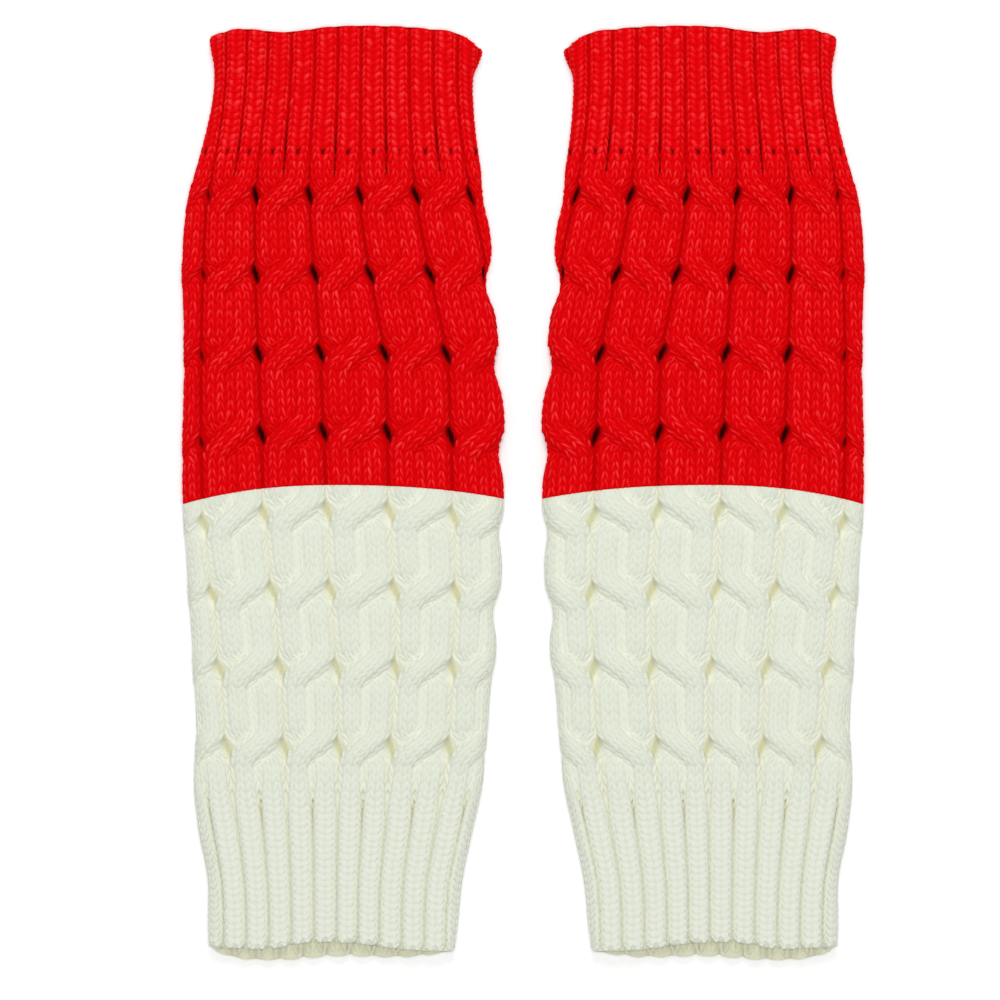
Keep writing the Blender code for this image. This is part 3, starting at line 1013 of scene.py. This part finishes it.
@dataclass
class Stitches:
    """The knit stitches of one piece: two slanting legs of yarn each, in wales along the strands."""

    tube: FlatTube
    rib_course: float = 2.9 * MM
    cable_course: float = 3.85 * MM
    course_samples: int = 4000
    leg_sides: int = 6
    leg_share: float = 0.35
    leg_height: float = 0.48 * MM
    least_length: float = 0.5
    sinks: tuple[float, float, float, float] = (0.45 * MM, 0.06 * MM, 0.22 * MM, 0.75 * MM)
    foot: tuple[float, float] = (0.14, 0.90)
    knees: tuple[tuple[float, float], ...] = ((0.34, 0.40), (0.70, -0.34))
    head: tuple[float, float] = (0.92, -0.88)
    # These three set the painted highlight along the top of each leg's knees.
    highlight_streak: tuple[float, float, float] = (0.30, 0.75, 2.0)
    even_highlight: float = 0.4
    knee_shine: tuple[float, float] = (0.6, 1.0)
    # Painted shade at the foot of each leg, where legs meet and the wall shows between them.
    foot_shade: float = 0.3
    sharp_angle: float = math.radians(40)
    skirt: float = 0.75
    overhang: float = 0.25 * MM
    opening_step: float = 0.2
    depth: float = 1.0
    # Painted shade on the legs inside the back panel, seen below the front hem, and their middle hollow.
    inner_shade: float = 0.56
    inner_hollow: float = 0.5
    inner_rows: int = 5
    inner_start: float = 0.2
    inner_margin: float = 0.12
    inner_places: tuple[float, float] = (-0.5, 0.5)
    inner_half: float = 0.42
    inner_tones: tuple[float, float] = (0.0, 0.6)
    lobe_columns: float = 0.25
    inner_half_width: float = 0.75 * MM
    inner_sinks: tuple[float, float, float, float] = (0.3 * MM, 0.0, 0.1 * MM, 0.5 * MM)
    clear: float = 0.12
    jitter: float = 0.07
    aside_jitter: float = 0.5
    tone_jitter: float = 2.0
    middle_tone: float = 0.5
    seed: int = 11
    lowest_front: float = 0.10
    slope_step: float = 0.02
    wales: tuple[Wale, ...] = (
        Wale(-1.36, -1.5, 0.33, 0.5, False, False),
        Wale(-0.66, -1.08, 0.33, 0.42, True, True),
        Wale(0.0, 0.0, 0.33, 0.68, True, True),
        Wale(0.66, 1.08, 0.33, 0.42, True, True),
        Wale(1.36, 1.5, 0.33, 0.5, False, False),
    )
    starts: tuple[float, float] = (0.6, 0.3)

    @property
    def bends(self) -> tuple[tuple[float, float], ...]:
        """The four points of a leg, each aside in half wales and down in courses."""
        return (self.foot, *self.knees, self.head)

    def course_height(self, station: Numbers) -> Numbers:
        """The height of one course of stitches, which is stretched more where the cloth is cabled."""
        return self.rib_course + (self.cable_course - self.rib_course) * self.tube.pattern.cabled(station)

    def course_stations(self) -> Numbers:
        """Stations of the courses, one course height of strand apart.

        Returns:
            The stations from the top rim to the hem.
        """
        station = np.linspace(0, self.tube.hem, self.course_samples)
        at = self.tube.pattern.crossing(station)
        density = (1 + (at.slant - 1) * at.cabled) / self.course_height(station)
        courses = np.concatenate([[0], np.cumsum(0.5 * (density[1:] + density[:-1]) * np.diff(station))])
        return np.interp(np.arange(0.5, courses[-1]), courses, station)

    def legs(self, first: float, last: float, limits: tuple[float, float]) -> Legs:
        """Lays out the legs of the stitches between two stations.

        Args:
            first: Station of the piece's upper end.
            last: Station of its lower end.
            limits: Stations that no leg passes.

        Returns:
            The legs of all wales.
        """
        tube, pattern = self.tube, self.tube.pattern
        courses = self.course_stations()
        courses = courses[(courses >= first) & (courses < last)]
        columns = np.arange(math.floor(tube.first_column), math.ceil(tube.first_column + tube.columns_round))
        station, column = np.meshgrid(courses, columns, indexing="ij")
        number = pattern.nearest(station)
        at = pattern.crossing(station, number)
        random = np.random.default_rng(self.seed)
        parts = []
        for wale in self.wales:
            for over in (True, False):
                for way in (-1, 1):
                    shake = random.normal(0, self.jitter, (3, *station.shape))
                    side = WaleSide(wale, over, way, column, station, number, at)
                    parts.append(self.side_legs(side, shake, limits))
        return Legs(*(np.concatenate(values) for values in zip(*parts)))

    def side_legs(self, side: WaleSide, shake: Numbers, limits: tuple[float, float]) -> Legs:
        """Lays out one side of the stitches of one wale.

        Args:
            side: The wale and its side.
            shake: Three small random numbers for each leg.
            limits: Stations that no leg passes.

        Returns:
            The legs that show.
        """
        tube, pattern = self.tube, self.tube.pattern
        t, s = self.leg_lines(side, shake, limits)
        width = self.leg_share * side.half * side.at.half * pattern.column_width
        aside, opening = pattern.beside_gutter(side.column[..., None] + t, s)
        room = (opening + self.skirt * width[..., None]) * (opening > 0)
        push = np.clip(room - np.abs(aside), 0, None)
        t = t + np.sign(aside) * push / pattern.column_width
        here = pattern.crossing(s, side.number[..., None])
        middle, wide = side.strand(here)
        strand = pattern.over_strand if side.over else pattern.under_strand
        own = np.maximum(strand((t - middle) / wide, here), pattern.body(t, here))
        column = side.column[..., None] + t
        spot = tube.spot(side.column + 0.5 * (t[..., 1] + t[..., 2]), side.station)
        kept = self.fits(side, t, s, push) & (spot.front > self.lowest_front)
        covered = pattern.relief(column, s) - own
        kept &= covered[..., 1:3].max(-1) < self.clear
        points = tube.place(column, s, own, self.depth * np.array(self.sinks))
        forward = points[..., 3, :] - points[..., 0, :]
        outward = self.outward(side.column, t[..., 1], s[..., 1], forward, spot)
        sideways = np.cross(unit(forward), outward)
        tone = np.clip(self.middle_tone + shake[2] * self.tone_jitter, 0, 1)
        made = Legs(points, sideways, outward, width * (1 + shake[2]), tone, column, s)
        return Legs(*(value[kept] for value in made))

    def leg_lines(
        self, side: WaleSide, shake: Numbers, limits: tuple[float, float]
    ) -> tuple[Numbers, Numbers]:
        """Runs each leg along its strand from foot to head.

        Args:
            side: The wale and its side.
            shake: Three small random numbers for each leg.
            limits: Stations that no leg passes.

        Returns:
            The four places of each leg across its column, and their stations.
        """
        pattern = self.tube.pattern
        height = self.course_height(side.station)
        across, down = [], []
        for aside, back in self.bends:
            offset = side.middle + side.way * side.half * (aside + shake[0] * self.aside_jitter)
            along = (back + shake[1]) * height
            s = np.clip(side.station + along * np.cos(side.at.turn * side.at.cabled), *limits)
            middle, wide = side.strand(pattern.crossing(s, side.number))
            across.append(middle + offset * wide)
            down.append(s)
        return np.stack(across, -1), np.stack(down, -1)

    def fits(self, side: WaleSide, t: Numbers, s: Numbers, push: Numbers) -> NDArray[np.bool_]:
        """Finds the legs that stay in their column, clear of the openings and long enough.

        Args:
            side: The wale and its side.
            t: Four places of each leg across its column.
            s: Their stations.
            push: How far each point was pushed out of an opening.

        Returns:
            Whether each leg is kept.
        """
        tube, pattern = self.tube, self.tube.pattern
        column, middle = side.column[..., None], side.middle
        share = np.arange(0, 1, self.opening_step)
        along = [line[..., :-1, None] * (1 - share) + line[..., 1:, None] * share for line in (t, s)]
        aside, opening = pattern.beside_gutter(column[..., None] + along[0], along[1])
        kept = (np.abs(aside) >= opening - self.overhang).all((-1, -2))
        kept &= (np.floor(column + t[..., 1:3]) == column).all(-1)
        inward = (middle < 0) == (side.strand(side.at)[0] > 0.5)
        begun = side.at.cabled > np.where(inward, *self.starts)
        kept &= side.wale.gives_way | (push.max(-1) == 0)
        kept &= side.wale.ribbed | begun
        kept &= (np.abs(middle) < 1) | (side.way * middle < 0) | begun
        kept &= (s[..., 0] - s[..., 3]) > self.least_length * self.course_height(side.station)
        place = side.column + t[..., 1]
        return kept & (place >= tube.first_column) & (place < tube.first_column + tube.columns_round)

    def outward(self, column: Numbers, t: Numbers, s: Numbers, forward: Numbers, spot: Spot) -> Numbers:
        """Finds which way each leg stands out, between the knitting's slope and the smooth tube's.

        Args:
            column: The whole columns.
            t: Places across the column.
            s: Stations.
            forward: Which way each leg runs.
            spot: The smooth tube there.

        Returns:
            Directions of length 1, square to the legs.
        """
        tube, pattern = self.tube, self.tube.pattern
        beyond = t + self.slope_step
        aside = tube.place(column + beyond, s, pattern.relief(beyond, s), 0.0)
        here = tube.place(column + t, s, pattern.relief(t, s), 0.0)
        facing = np.stack([spot.face_x, np.zeros_like(spot.face_x), spot.face_z], -1)
        outward = unit(np.cross(aside - here, forward)) + facing
        forward = unit(forward)
        return unit(outward - forward * np.sum(outward * forward, -1, keepdims=True))

    def shades(self, legs: Legs, cosine: Numbers) -> tuple[Numbers, Numbers]:
        """Reads the hollow and the pit at every point of the legs.

        Args:
            legs: The legs of the front.
            cosine: How far aside each point of a ring lies, in leg widths.

        Returns:
            The hollow and the pit at the foot, round both rings and at the head.
        """
        aside = legs.width[:, None] * cosine / self.tube.pattern.column_width
        around = [legs.column[:, k, None] + aside for k in (1, 2)]
        columns = np.concatenate([legs.column[:, :1], *around, legs.column[:, 3:]], axis=1)
        stations = np.repeat(legs.station, (1, self.leg_sides, self.leg_sides, 1), axis=1)
        return self.tube.hollow(columns, stations), self.tube.pattern.pit(columns, stations)

    def inner_lines(self, course: float) -> list[Numbers]:
        """Runs the legs of one course inside the back panel.

        Args:
            course: The course's station.

        Returns:
            The four points of each leg, one array for each side of each wale.
        """
        tube = self.tube
        lowest = tube.hem - self.inner_margin * self.rib_course
        outer, inner, _ = tube.sizes(course)
        edges = (outer + tube.side_wall, inner - tube.side_wall)
        start, rate = tube.back_scale(course)
        low, high = sorted(start + rate * edge for edge in edges)
        numbers = np.arange(math.ceil(2 * low - 0.5), math.floor(2 * high - 0.5) + 1)
        lobes = numbers / 2 + self.lobe_columns
        lines = []
        for place in self.inner_places:
            for way in (-1, 1):
                line = []
                for (aside, back), sink in zip(self.bends, self.inner_sinks):
                    station = min(course + back * self.rib_course, lowest)
                    column = lobes + self.lobe_columns * (place + way * self.inner_half * aside)
                    x = np.clip((column - start) / rate, *edges)
                    swell, draw = tube.back_inside(station, x)
                    share = (x - outer) / (inner - outer)
                    down = station + tube.course_drop(station, share, np.zeros_like(x)) - draw
                    height = tube.back_wall + swell - sink
                    line.append(np.stack([x - tube.pair_width / 2, tube.length / 2 - down, height], -1))
                lines.append(np.stack(line, 1))
        return lines

    def inner_legs(self) -> Legs:
        """Lays out the legs inside the back panel, which show below the front hem.

        Returns:
            The legs, with no columns or stations.
        """
        random = np.random.default_rng(self.seed)
        rows = [row + self.inner_start for row in range(self.inner_rows)]
        lines = [line for row in rows for line in self.inner_lines(self.tube.hem - row * self.rib_course)]
        points = np.concatenate(lines)
        count = len(points)
        forward = unit(points[:, 3] - points[:, 0])
        outward = unit(np.tile([0.0, 0.0, 1.0], (count, 1)) - forward * forward[:, 2:])
        width = self.inner_half_width * (1 + random.normal(0, self.jitter, count))
        tone = random.uniform(*self.inner_tones, count)
        nowhere = np.zeros((0, 4))
        return Legs(points, np.cross(forward, outward), outward, width, tone, nowhere, nowhere)

    def spindle_faces(self, size: int) -> NDArray[np.int64]:
        """The faces of one leg: from its foot over two rings to its head.

        Args:
            size: How many points a leg has.

        Returns:
            Three indices a face.
        """
        sides = self.leg_sides
        ring = np.arange(sides)
        after = (ring + 1) % sides
        low, high = 1 + ring, 1 + sides + ring
        low_after, high_after = 1 + after, 1 + sides + after
        corners = (
            [np.zeros(sides, int), low_after, low],
            [low, low_after, high],
            [low_after, high_after, high],
            [high, high_after, np.full(sides, size - 1)],
        )
        return np.concatenate([np.stack(three, -1) for three in corners])

    def build(
        self, name: str, first: float, last: float, limits: tuple[float, float], hand: Hand
    ) -> bpy.types.Object:
        """Makes the stitches between two stations as one joined piece.

        Args:
            name: The piece's name.
            first: Station of its upper end.
            last: Station of its lower end.
            limits: Stations that no leg passes.
            hand: Which leg warmer they are for.

        Returns:
            The joined legs of yarn, each a closed spindle.
        """
        legs = self.legs(first, last, limits)
        angle = 2 * math.pi * (np.arange(self.leg_sides) + 0.5) / self.leg_sides
        # Painted shade on the legs: by hollow, in openings and gutters, at each foot, and inside the back
        # panel.
        hollow, pit = self.shades(legs, np.cos(angle))
        if last >= self.tube.hem:
            inner = self.inner_legs()
            legs = Legs(*(np.concatenate(values) for values in zip(legs, inner)))
            plain = np.ones((len(inner.points), hollow.shape[1]))
            hollow = np.concatenate([hollow, self.inner_hollow * plain])
            pit = np.concatenate([pit, self.inner_shade * plain])
        pit[:, 0] = np.maximum(pit[:, 0], self.foot_shade)
        spoke = legs.width[:, None, None] * np.cos(angle)[None, :, None] * legs.sideways[:, None, :]
        spoke = spoke + self.depth * self.leg_height * np.sin(angle)[None, :, None] * legs.outward[:, None, :]
        rings = [legs.points[:, None, k] + spoke for k in (1, 2)]
        solid = np.concatenate([legs.points[:, :1], *rings, legs.points[:, 3:]], axis=1)
        solid[..., 2] = np.maximum(solid[..., 2], 0.0)
        count, size = solid.shape[:2]
        triangles = (self.spindle_faces(size)[None] + size * np.arange(count)[:, None, None]).reshape(-1, 3)
        piece = closed_piece(name, solid.reshape(-1, 3), triangles, hand)
        piece.data.set_sharp_from_angle(angle=self.sharp_angle)
        paint(piece, "hollow", hollow.ravel())
        paint(piece, "pit", pit.ravel())
        paint(piece, "tone", self.tones_and_highlights(legs.tone[:, None], angle).ravel())
        return piece

    def tones_and_highlights(self, tone: Numbers, angle: Numbers) -> Numbers:
        """How bright each point of each leg is: its own tone, and a painted highlight along the top of its
        knees.

        Args:
            tone: The tone of each leg.
            angle: Angles of a ring's points, where a quarter turn is the top.

        Returns:
            The tone at the foot, round both rings and at the head.
        """
        crest = np.clip(np.sin(angle), 0, 1) ** 2
        shine = np.concatenate([[0.0], self.knee_shine[0] * crest, self.knee_shine[1] * crest, [0.0]])
        low, high, power = self.highlight_streak
        highlight = high * (self.even_highlight + (1 - self.even_highlight) * tone) * shine**power
        return low * tone + highlight


class Bench:
    """Sets out and links the nodes of one material or node group."""

    def __init__(self, tree: bpy.types.NodeTree) -> None:
        """Takes the tree to work in."""
        self.tree = tree

    def link(self, source: Socket, target: Socket) -> None:
        """Links one socket to another."""
        self.tree.links.new(source, target)

    def mix(self, factor: Socket, first: Socket, second: Socket) -> Socket:
        """Mixes two colours.

        Args:
            factor: The share of the second colour.
            first: The first colour.
            second: The second colour.

        Returns:
            The mixed colour.
        """
        node = self.tree.nodes.new("ShaderNodeMix")
        node.data_type = "RGBA"
        self.link(factor, node.inputs[0])
        self.link(first, node.inputs[6])
        self.link(second, node.inputs[7])
        return node.outputs[2]

    def span(self, source: Socket, low: float, high: float) -> Socket:
        """A value that rises smoothly from 0 where the source is low to 1 where it is high.

        Args:
            source: The value to read.
            low: Where the result is 0.
            high: Where the result is 1.

        Returns:
            The result.
        """
        node = self.tree.nodes.new("ShaderNodeMapRange")
        node.interpolation_type = "SMOOTHSTEP"
        node.inputs["From Min"].default_value = low
        node.inputs["From Max"].default_value = high
        self.link(source, node.inputs["Value"])
        return node.outputs["Result"]

    def maths(self, operation: str, first: Socket, second: Socket | float) -> Socket:
        """One sum, such as ADD or MULTIPLY, of a socket and a socket or number.

        Args:
            operation: The sum's name.
            first: The first value.
            second: The second value.

        Returns:
            The result.
        """
        node = self.tree.nodes.new("ShaderNodeMath")
        node.operation = operation
        self.link(first, node.inputs[0])
        if isinstance(second, float):
            node.inputs[1].default_value = second
        else:
            self.link(second, node.inputs[1])
        return node.outputs["Value"]

    def noise(self, place: Socket, scale: float, detail: float) -> Socket:
        """Soft noise read at a place.

        Args:
            place: Where it is read.
            scale: How many waves a metre has.
            detail: How many finer layers it has.

        Returns:
            The noise.
        """
        node = self.tree.nodes.new("ShaderNodeTexNoise")
        node.inputs["Scale"].default_value = scale
        node.inputs["Detail"].default_value = detail
        self.link(place, node.inputs["Vector"])
        return node.outputs["Fac"]


@dataclass(frozen=True)
class YarnGroups:
    """The node groups that both yarns share, each made once."""

    # Where the painted shading of hollows begins and ends, and where the painted highlight shows and fades in
    # hollows.
    shading_reach: tuple[float, float] = (-0.1, 0.9)
    haze_share: float = 0.6
    highlight_reach: tuple[float, float] = (0.55, 1.25)
    highlight_fade: tuple[float, float] = (0.7, 0.0)
    coarse_fibre: tuple[float, float] = (620.0, 3.0)
    fine_fibre: tuple[float, float] = (2600.0, 2.0)
    fine_share: float = 0.5
    haze_fibre: tuple[float, float] = (340.0, 4.0)

    @staticmethod
    def opened(name: str, takes: dict[str, str], gives: dict[str, str]) -> tuple[Bench, dict, dict]:
        """Starts a node group.

        Args:
            name: The group's name.
            takes: Its inputs, as names and socket types.
            gives: Its outputs, as names and socket types.

        Returns:
            The bench of its tree, the sockets it takes from and the sockets it gives to.
        """
        tree = bpy.data.node_groups.new(name, "ShaderNodeTree")
        for label, kind in takes.items():
            tree.interface.new_socket(name=label, in_out="INPUT", socket_type=kind)
        for label, kind in gives.items():
            tree.interface.new_socket(name=label, in_out="OUTPUT", socket_type=kind)
        given = tree.nodes.new("NodeGroupInput")
        result = tree.nodes.new("NodeGroupOutput")
        return Bench(tree), dict(given.outputs.items()), dict(result.inputs.items())

    def shade(self) -> bpy.types.NodeTree:
        """The group that colours yarn with painted shading in its hollows, a painted highlight by its tone on
        raised parts, and painted shadow in the openings.

        Returns:
            The group's tree.
        """
        if "yarn_shade" in bpy.data.node_groups:
            return bpy.data.node_groups["yarn_shade"]
        colours = ("Deep Color", "Middle Color", "Crest Color", "Opening Color")
        numbers = ("Hollow", "Opening", "Tone", "Haze")
        takes = dict.fromkeys(colours, "NodeSocketColor") | dict.fromkeys(numbers, "NodeSocketFloat")
        bench, given, result = self.opened("yarn_shade", takes, {"Color": "NodeSocketColor"})
        deep = bench.span(given["Hollow"], *self.shading_reach)
        low = bench.mix(deep, given["Middle Color"], given["Deep Color"])
        tone = bench.maths("ADD", bench.maths("MULTIPLY", given["Haze"], self.haze_share), given["Tone"])
        raised = bench.span(given["Hollow"], *self.highlight_fade)
        highlight = bench.maths("MULTIPLY", bench.span(tone, *self.highlight_reach), raised)
        high = bench.mix(highlight, low, given["Crest Color"])
        bench.link(bench.mix(given["Opening"], high, given["Opening Color"]), result["Color"])
        return bench.tree

    def fibre(self) -> bpy.types.NodeTree:
        """The group that gives the height of loose fibres, and where their haze lies.

        Returns:
            The group's tree.
        """
        if "yarn_fibre" in bpy.data.node_groups:
            return bpy.data.node_groups["yarn_fibre"]
        takes = {"Place": "NodeSocketVector"}
        gives = {"Height": "NodeSocketFloat", "Haze": "NodeSocketFloat"}
        bench, given, result = self.opened("yarn_fibre", takes, gives)
        coarse = bench.noise(given["Place"], *self.coarse_fibre)
        fine = bench.noise(given["Place"], *self.fine_fibre)
        haze = bench.noise(given["Place"], *self.haze_fibre)
        height = bench.maths("ADD", bench.maths("MULTIPLY", fine, self.fine_share), coarse)
        bench.link(height, result["Height"])
        bench.link(haze, result["Haze"])
        return bench.tree


@dataclass(frozen=True)
class YarnFinish:
    """Soft acrylic yarn of one colour."""

    yarn: Yarn
    # The shading colour paints the hollows, the crest colour paints the highlight along the legs, and the
    # opening colour paints the shadow in openings and gutters.
    deep: Colour
    middle: Colour
    crest: Colour
    opening: Colour
    sheen_tint: Colour
    stitch_depth: float
    roughness: float = 0.95
    sheen: float = 0.01
    sheen_roughness: float = 0.6
    gloss: float = 0.03
    bump: float = 0.3
    bump_distance: float = 0.5 * MM

    def material(self) -> bpy.types.Material:
        """The yarn's material, made at its first use.

        Returns:
            The material.
        """
        name = f"knitted_{self.yarn.value}"
        if name in bpy.data.materials:
            return bpy.data.materials[name]
        material = bpy.data.materials.new(name)
        material.use_nodes = True
        bench = Bench(material.node_tree)
        shader = material.node_tree.nodes["Principled BSDF"]
        shader.inputs["Roughness"].default_value = self.roughness
        shader.inputs["Metallic"].default_value = 0.0
        shader.inputs["Specular IOR Level"].default_value = self.gloss
        shader.inputs["Sheen Weight"].default_value = self.sheen
        shader.inputs["Sheen Roughness"].default_value = self.sheen_roughness
        shader.inputs["Sheen Tint"].default_value = self.sheen_tint
        groups = YarnGroups()
        place = bench.tree.nodes.new("ShaderNodeTexCoord").outputs["Object"]
        fibre = bench.tree.nodes.new("ShaderNodeGroup")
        fibre.node_tree = groups.fibre()
        bench.link(place, fibre.inputs["Place"])
        shade = bench.tree.nodes.new("ShaderNodeGroup")
        shade.node_tree = groups.shade()
        for label in ("deep", "middle", "crest", "opening"):
            shade.inputs[f"{label.title()} Color"].default_value = getattr(self, label)
        for label, layer in (("Hollow", "hollow"), ("Opening", "pit"), ("Tone", "tone")):
            reader = bench.tree.nodes.new("ShaderNodeAttribute")
            reader.attribute_name = layer
            bench.link(reader.outputs["Fac"], shade.inputs[label])
        bench.link(fibre.outputs["Haze"], shade.inputs["Haze"])
        bench.link(shade.outputs["Color"], shader.inputs["Base Color"])
        bump = bench.tree.nodes.new("ShaderNodeBump")
        bump.inputs["Strength"].default_value = self.bump
        bump.inputs["Distance"].default_value = self.bump_distance
        bench.link(fibre.outputs["Height"], bump.inputs["Height"])
        bench.link(bump.outputs["Normal"], shader.inputs["Normal"])
        return material


# Red yarn: hollows painted darker, a pink painted highlight on the legs' tops, near-black painted shadow in
# the openings.
RED_YARN = YarnFinish(
    yarn=Yarn.RED,
    deep=(0.675, 0.0, 0.001, 1.0),
    middle=(0.735, 0.001, 0.003, 1.0),
    crest=(0.855, 0.043, 0.048, 1.0),
    opening=(0.02, 0.0, 0.0, 1.0),
    sheen_tint=(1.0, 0.25, 0.25, 1.0),
    stitch_depth=1.1,
)
# Cream yarn: hollows painted lighter and legs' tops painted darker, to offset their shade and light, and
# olive painted shade in the openings and gutters.
CREAM_YARN = YarnFinish(
    yarn=Yarn.CREAM,
    deep=(0.82, 0.835, 0.71, 1.0),
    middle=(0.73, 0.765, 0.665, 1.0),
    crest=(0.70, 0.73, 0.665, 1.0),
    opening=(0.57, 0.56, 0.35, 1.0),
    sheen_tint=(1.0, 1.0, 0.95, 1.0),
    stitch_depth=0.95,
)


class Part(NamedTuple):
    """One knitted part of a leg warmer, with the stations of its ends."""

    node: str
    finish: YarnFinish
    first: float
    last: float
    limits: tuple[float, float]


@dataclass
class LegWarmer:
    """One leg warmer: four knitted parts, each a wall of cloth with its stitches."""

    hand: Hand
    tube: FlatTube
    top_seam: float = 59.0 * MM
    colour_seam: float = 197.4 * MM
    bottom_seam: float = 326.5 * MM
    seam_gap: float = 0.05 * MM
    rim_margin: float = 1.1 * MM
    measured_courses: int = 40

    def parts(self) -> tuple[Part, ...]:
        """The four parts from the top rim to the bottom hem.

        Returns:
            The parts.
        """
        half = self.seam_gap / 2
        side = self.hand.name.lower()
        hem = self.tube.hem
        red = (self.rim_margin, self.colour_seam - half)
        cream = (self.colour_seam + half, hem - self.rim_margin)
        return (
            Part(f"{side}_top_cuff", RED_YARN, 0.0, self.top_seam - half, red),
            Part(f"{side}_upper_leg", RED_YARN, self.top_seam + half, self.colour_seam - half, red),
            Part(f"{side}_lower_leg", CREAM_YARN, self.colour_seam + half, self.bottom_seam - half, cream),
            Part(f"{side}_bottom_cuff", CREAM_YARN, self.bottom_seam + half, hem, cream),
        )

    def flat_size(self, part: Part) -> tuple[float, float, float]:
        """The cut of one part.

        Args:
            part: The part to measure.

        Returns:
            Its widest width all round, its length and its flat area.
        """
        stations = np.linspace(part.first, part.last, self.measured_courses)
        sides = np.array([self.tube.sizes(float(s))[:2] for s in stations])
        around = 2 * (sides[:, 1] - sides[:, 0])
        length = part.last - part.first
        return float(around.max()), length, float(around.mean() * length)

    def build(self) -> list[bpy.types.Object]:
        """Makes the leg warmer, attaches every piece to the root and hides the imported part it replaces.

        Returns:
            Its pieces.
        """
        made: list[bpy.types.Object] = []
        for part in self.parts():
            depth = part.finish.stitch_depth
            wall = ClothWall(self.tube, depth=depth).build(
                f"{part.node}_cloth", part.first, part.last, self.hand
            )
            stitches = Stitches(self.tube, depth=depth).build(
                f"{part.node}_stitches", part.first, part.last, part.limits, self.hand
            )
            width, length, area = self.flat_size(part)
            for piece in (wall, stitches):
                piece.data.materials.append(part.finish.material())
                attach(piece, "root")
                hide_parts(part.node)
                LOG.info("%s: %d triangles", piece.name, len(piece.data.polygons))
            made += [wall, stitches]
        return made


@dataclass
class Studio:
    """Pale floor, soft light and the camera straight above the pair."""

    floor_size: float = 6.0
    floor_gap: float = 0.1 * MM
    floor_colour: Colour = (1.0, 1.0, 1.0, 1.0)
    sky: float = 0.44
    top_height: float = 2.9
    top_size: float = 1.2
    top_watts: float = 43.0
    key_place: tuple[float, float, float] = (0.0, 1.3, 1.3)
    key_size: float = 0.7
    key_watts: float = 8.4
    view_centre: tuple[float, float] = (-9.9 * MM, -2.8 * MM)
    view_width: float = 430 * MM
    camera_height: float = 2.6
    sensor: float = 36.0
    farthest: float = 20.0

    def camera(self) -> bpy.types.Object:
        """Sets the camera straight above the pair, with the photograph's width of view.

        Returns:
            The camera.
        """
        bpy.ops.object.camera_add(location=(*self.view_centre, self.camera_height), rotation=(0.0, 0.0, 0.0))
        camera = bpy.context.object
        camera.name = "camera"
        camera.data.sensor_width = self.sensor
        camera.data.lens = self.sensor * self.camera_height / self.view_width
        camera.data.clip_end = self.farthest
        bpy.context.scene.camera = camera
        return camera

    def floor(self) -> bpy.types.Object:
        """Lays the pale floor under the pair.

        Returns:
            The floor.
        """
        bpy.ops.mesh.primitive_plane_add(size=self.floor_size, location=(0.0, 0.0, -self.floor_gap))
        floor = bpy.context.object
        floor.name = "floor"
        material = bpy.data.materials.new("pale_floor")
        material.use_nodes = True
        shader = material.node_tree.nodes["Principled BSDF"]
        shader.inputs["Base Color"].default_value = self.floor_colour
        shader.inputs["Roughness"].default_value = 1.0
        shader.inputs["Specular IOR Level"].default_value = 0.0
        floor.data.materials.append(material)
        return floor

    def light(self) -> None:
        """Lights the pair softly from above and all round, and a little more from beyond its top edge."""
        world = bpy.context.scene.world or bpy.data.worlds.new("sky")
        bpy.context.scene.world = world
        world.use_nodes = True
        sky = world.node_tree.nodes["Background"]
        sky.inputs["Color"].default_value = (1.0, 1.0, 1.0, 1.0)
        sky.inputs["Strength"].default_value = self.sky
        x, y, z = self.key_place
        bpy.ops.object.light_add(type="AREA", location=self.key_place, rotation=(-math.atan2(y, z), 0.0, 0.0))
        key = bpy.context.object
        key.name = "key_light"
        key.data.size = self.key_size
        key.data.energy = self.key_watts
        bpy.ops.object.light_add(type="AREA", location=(0.0, 0.0, self.top_height), rotation=(0.0, 0.0, 0.0))
        top = bpy.context.object
        top.name = "top_light"
        top.data.size = self.top_size
        top.data.energy = self.top_watts
        bpy.context.scene.view_settings.view_transform = "Standard"

    def build(self) -> None:
        """Makes the camera first, then the floor and the lights."""
        bpy.ops.object.select_all(action="DESELECT")
        self.camera()
        self.floor()
        self.light()


def main() -> None:
    """Builds the studio, then both leg warmers from one form."""
    logging.basicConfig(level=logging.INFO, format="%(name)s: %(message)s")
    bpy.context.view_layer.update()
    Studio().build()
    tube = FlatTube()
    for hand in Hand:
        pieces = LegWarmer(hand, tube).build()
        LOG.info("%s leg warmer: %d pieces", hand.name.lower(), len(pieces))


if __name__ == "__main__":
    main()
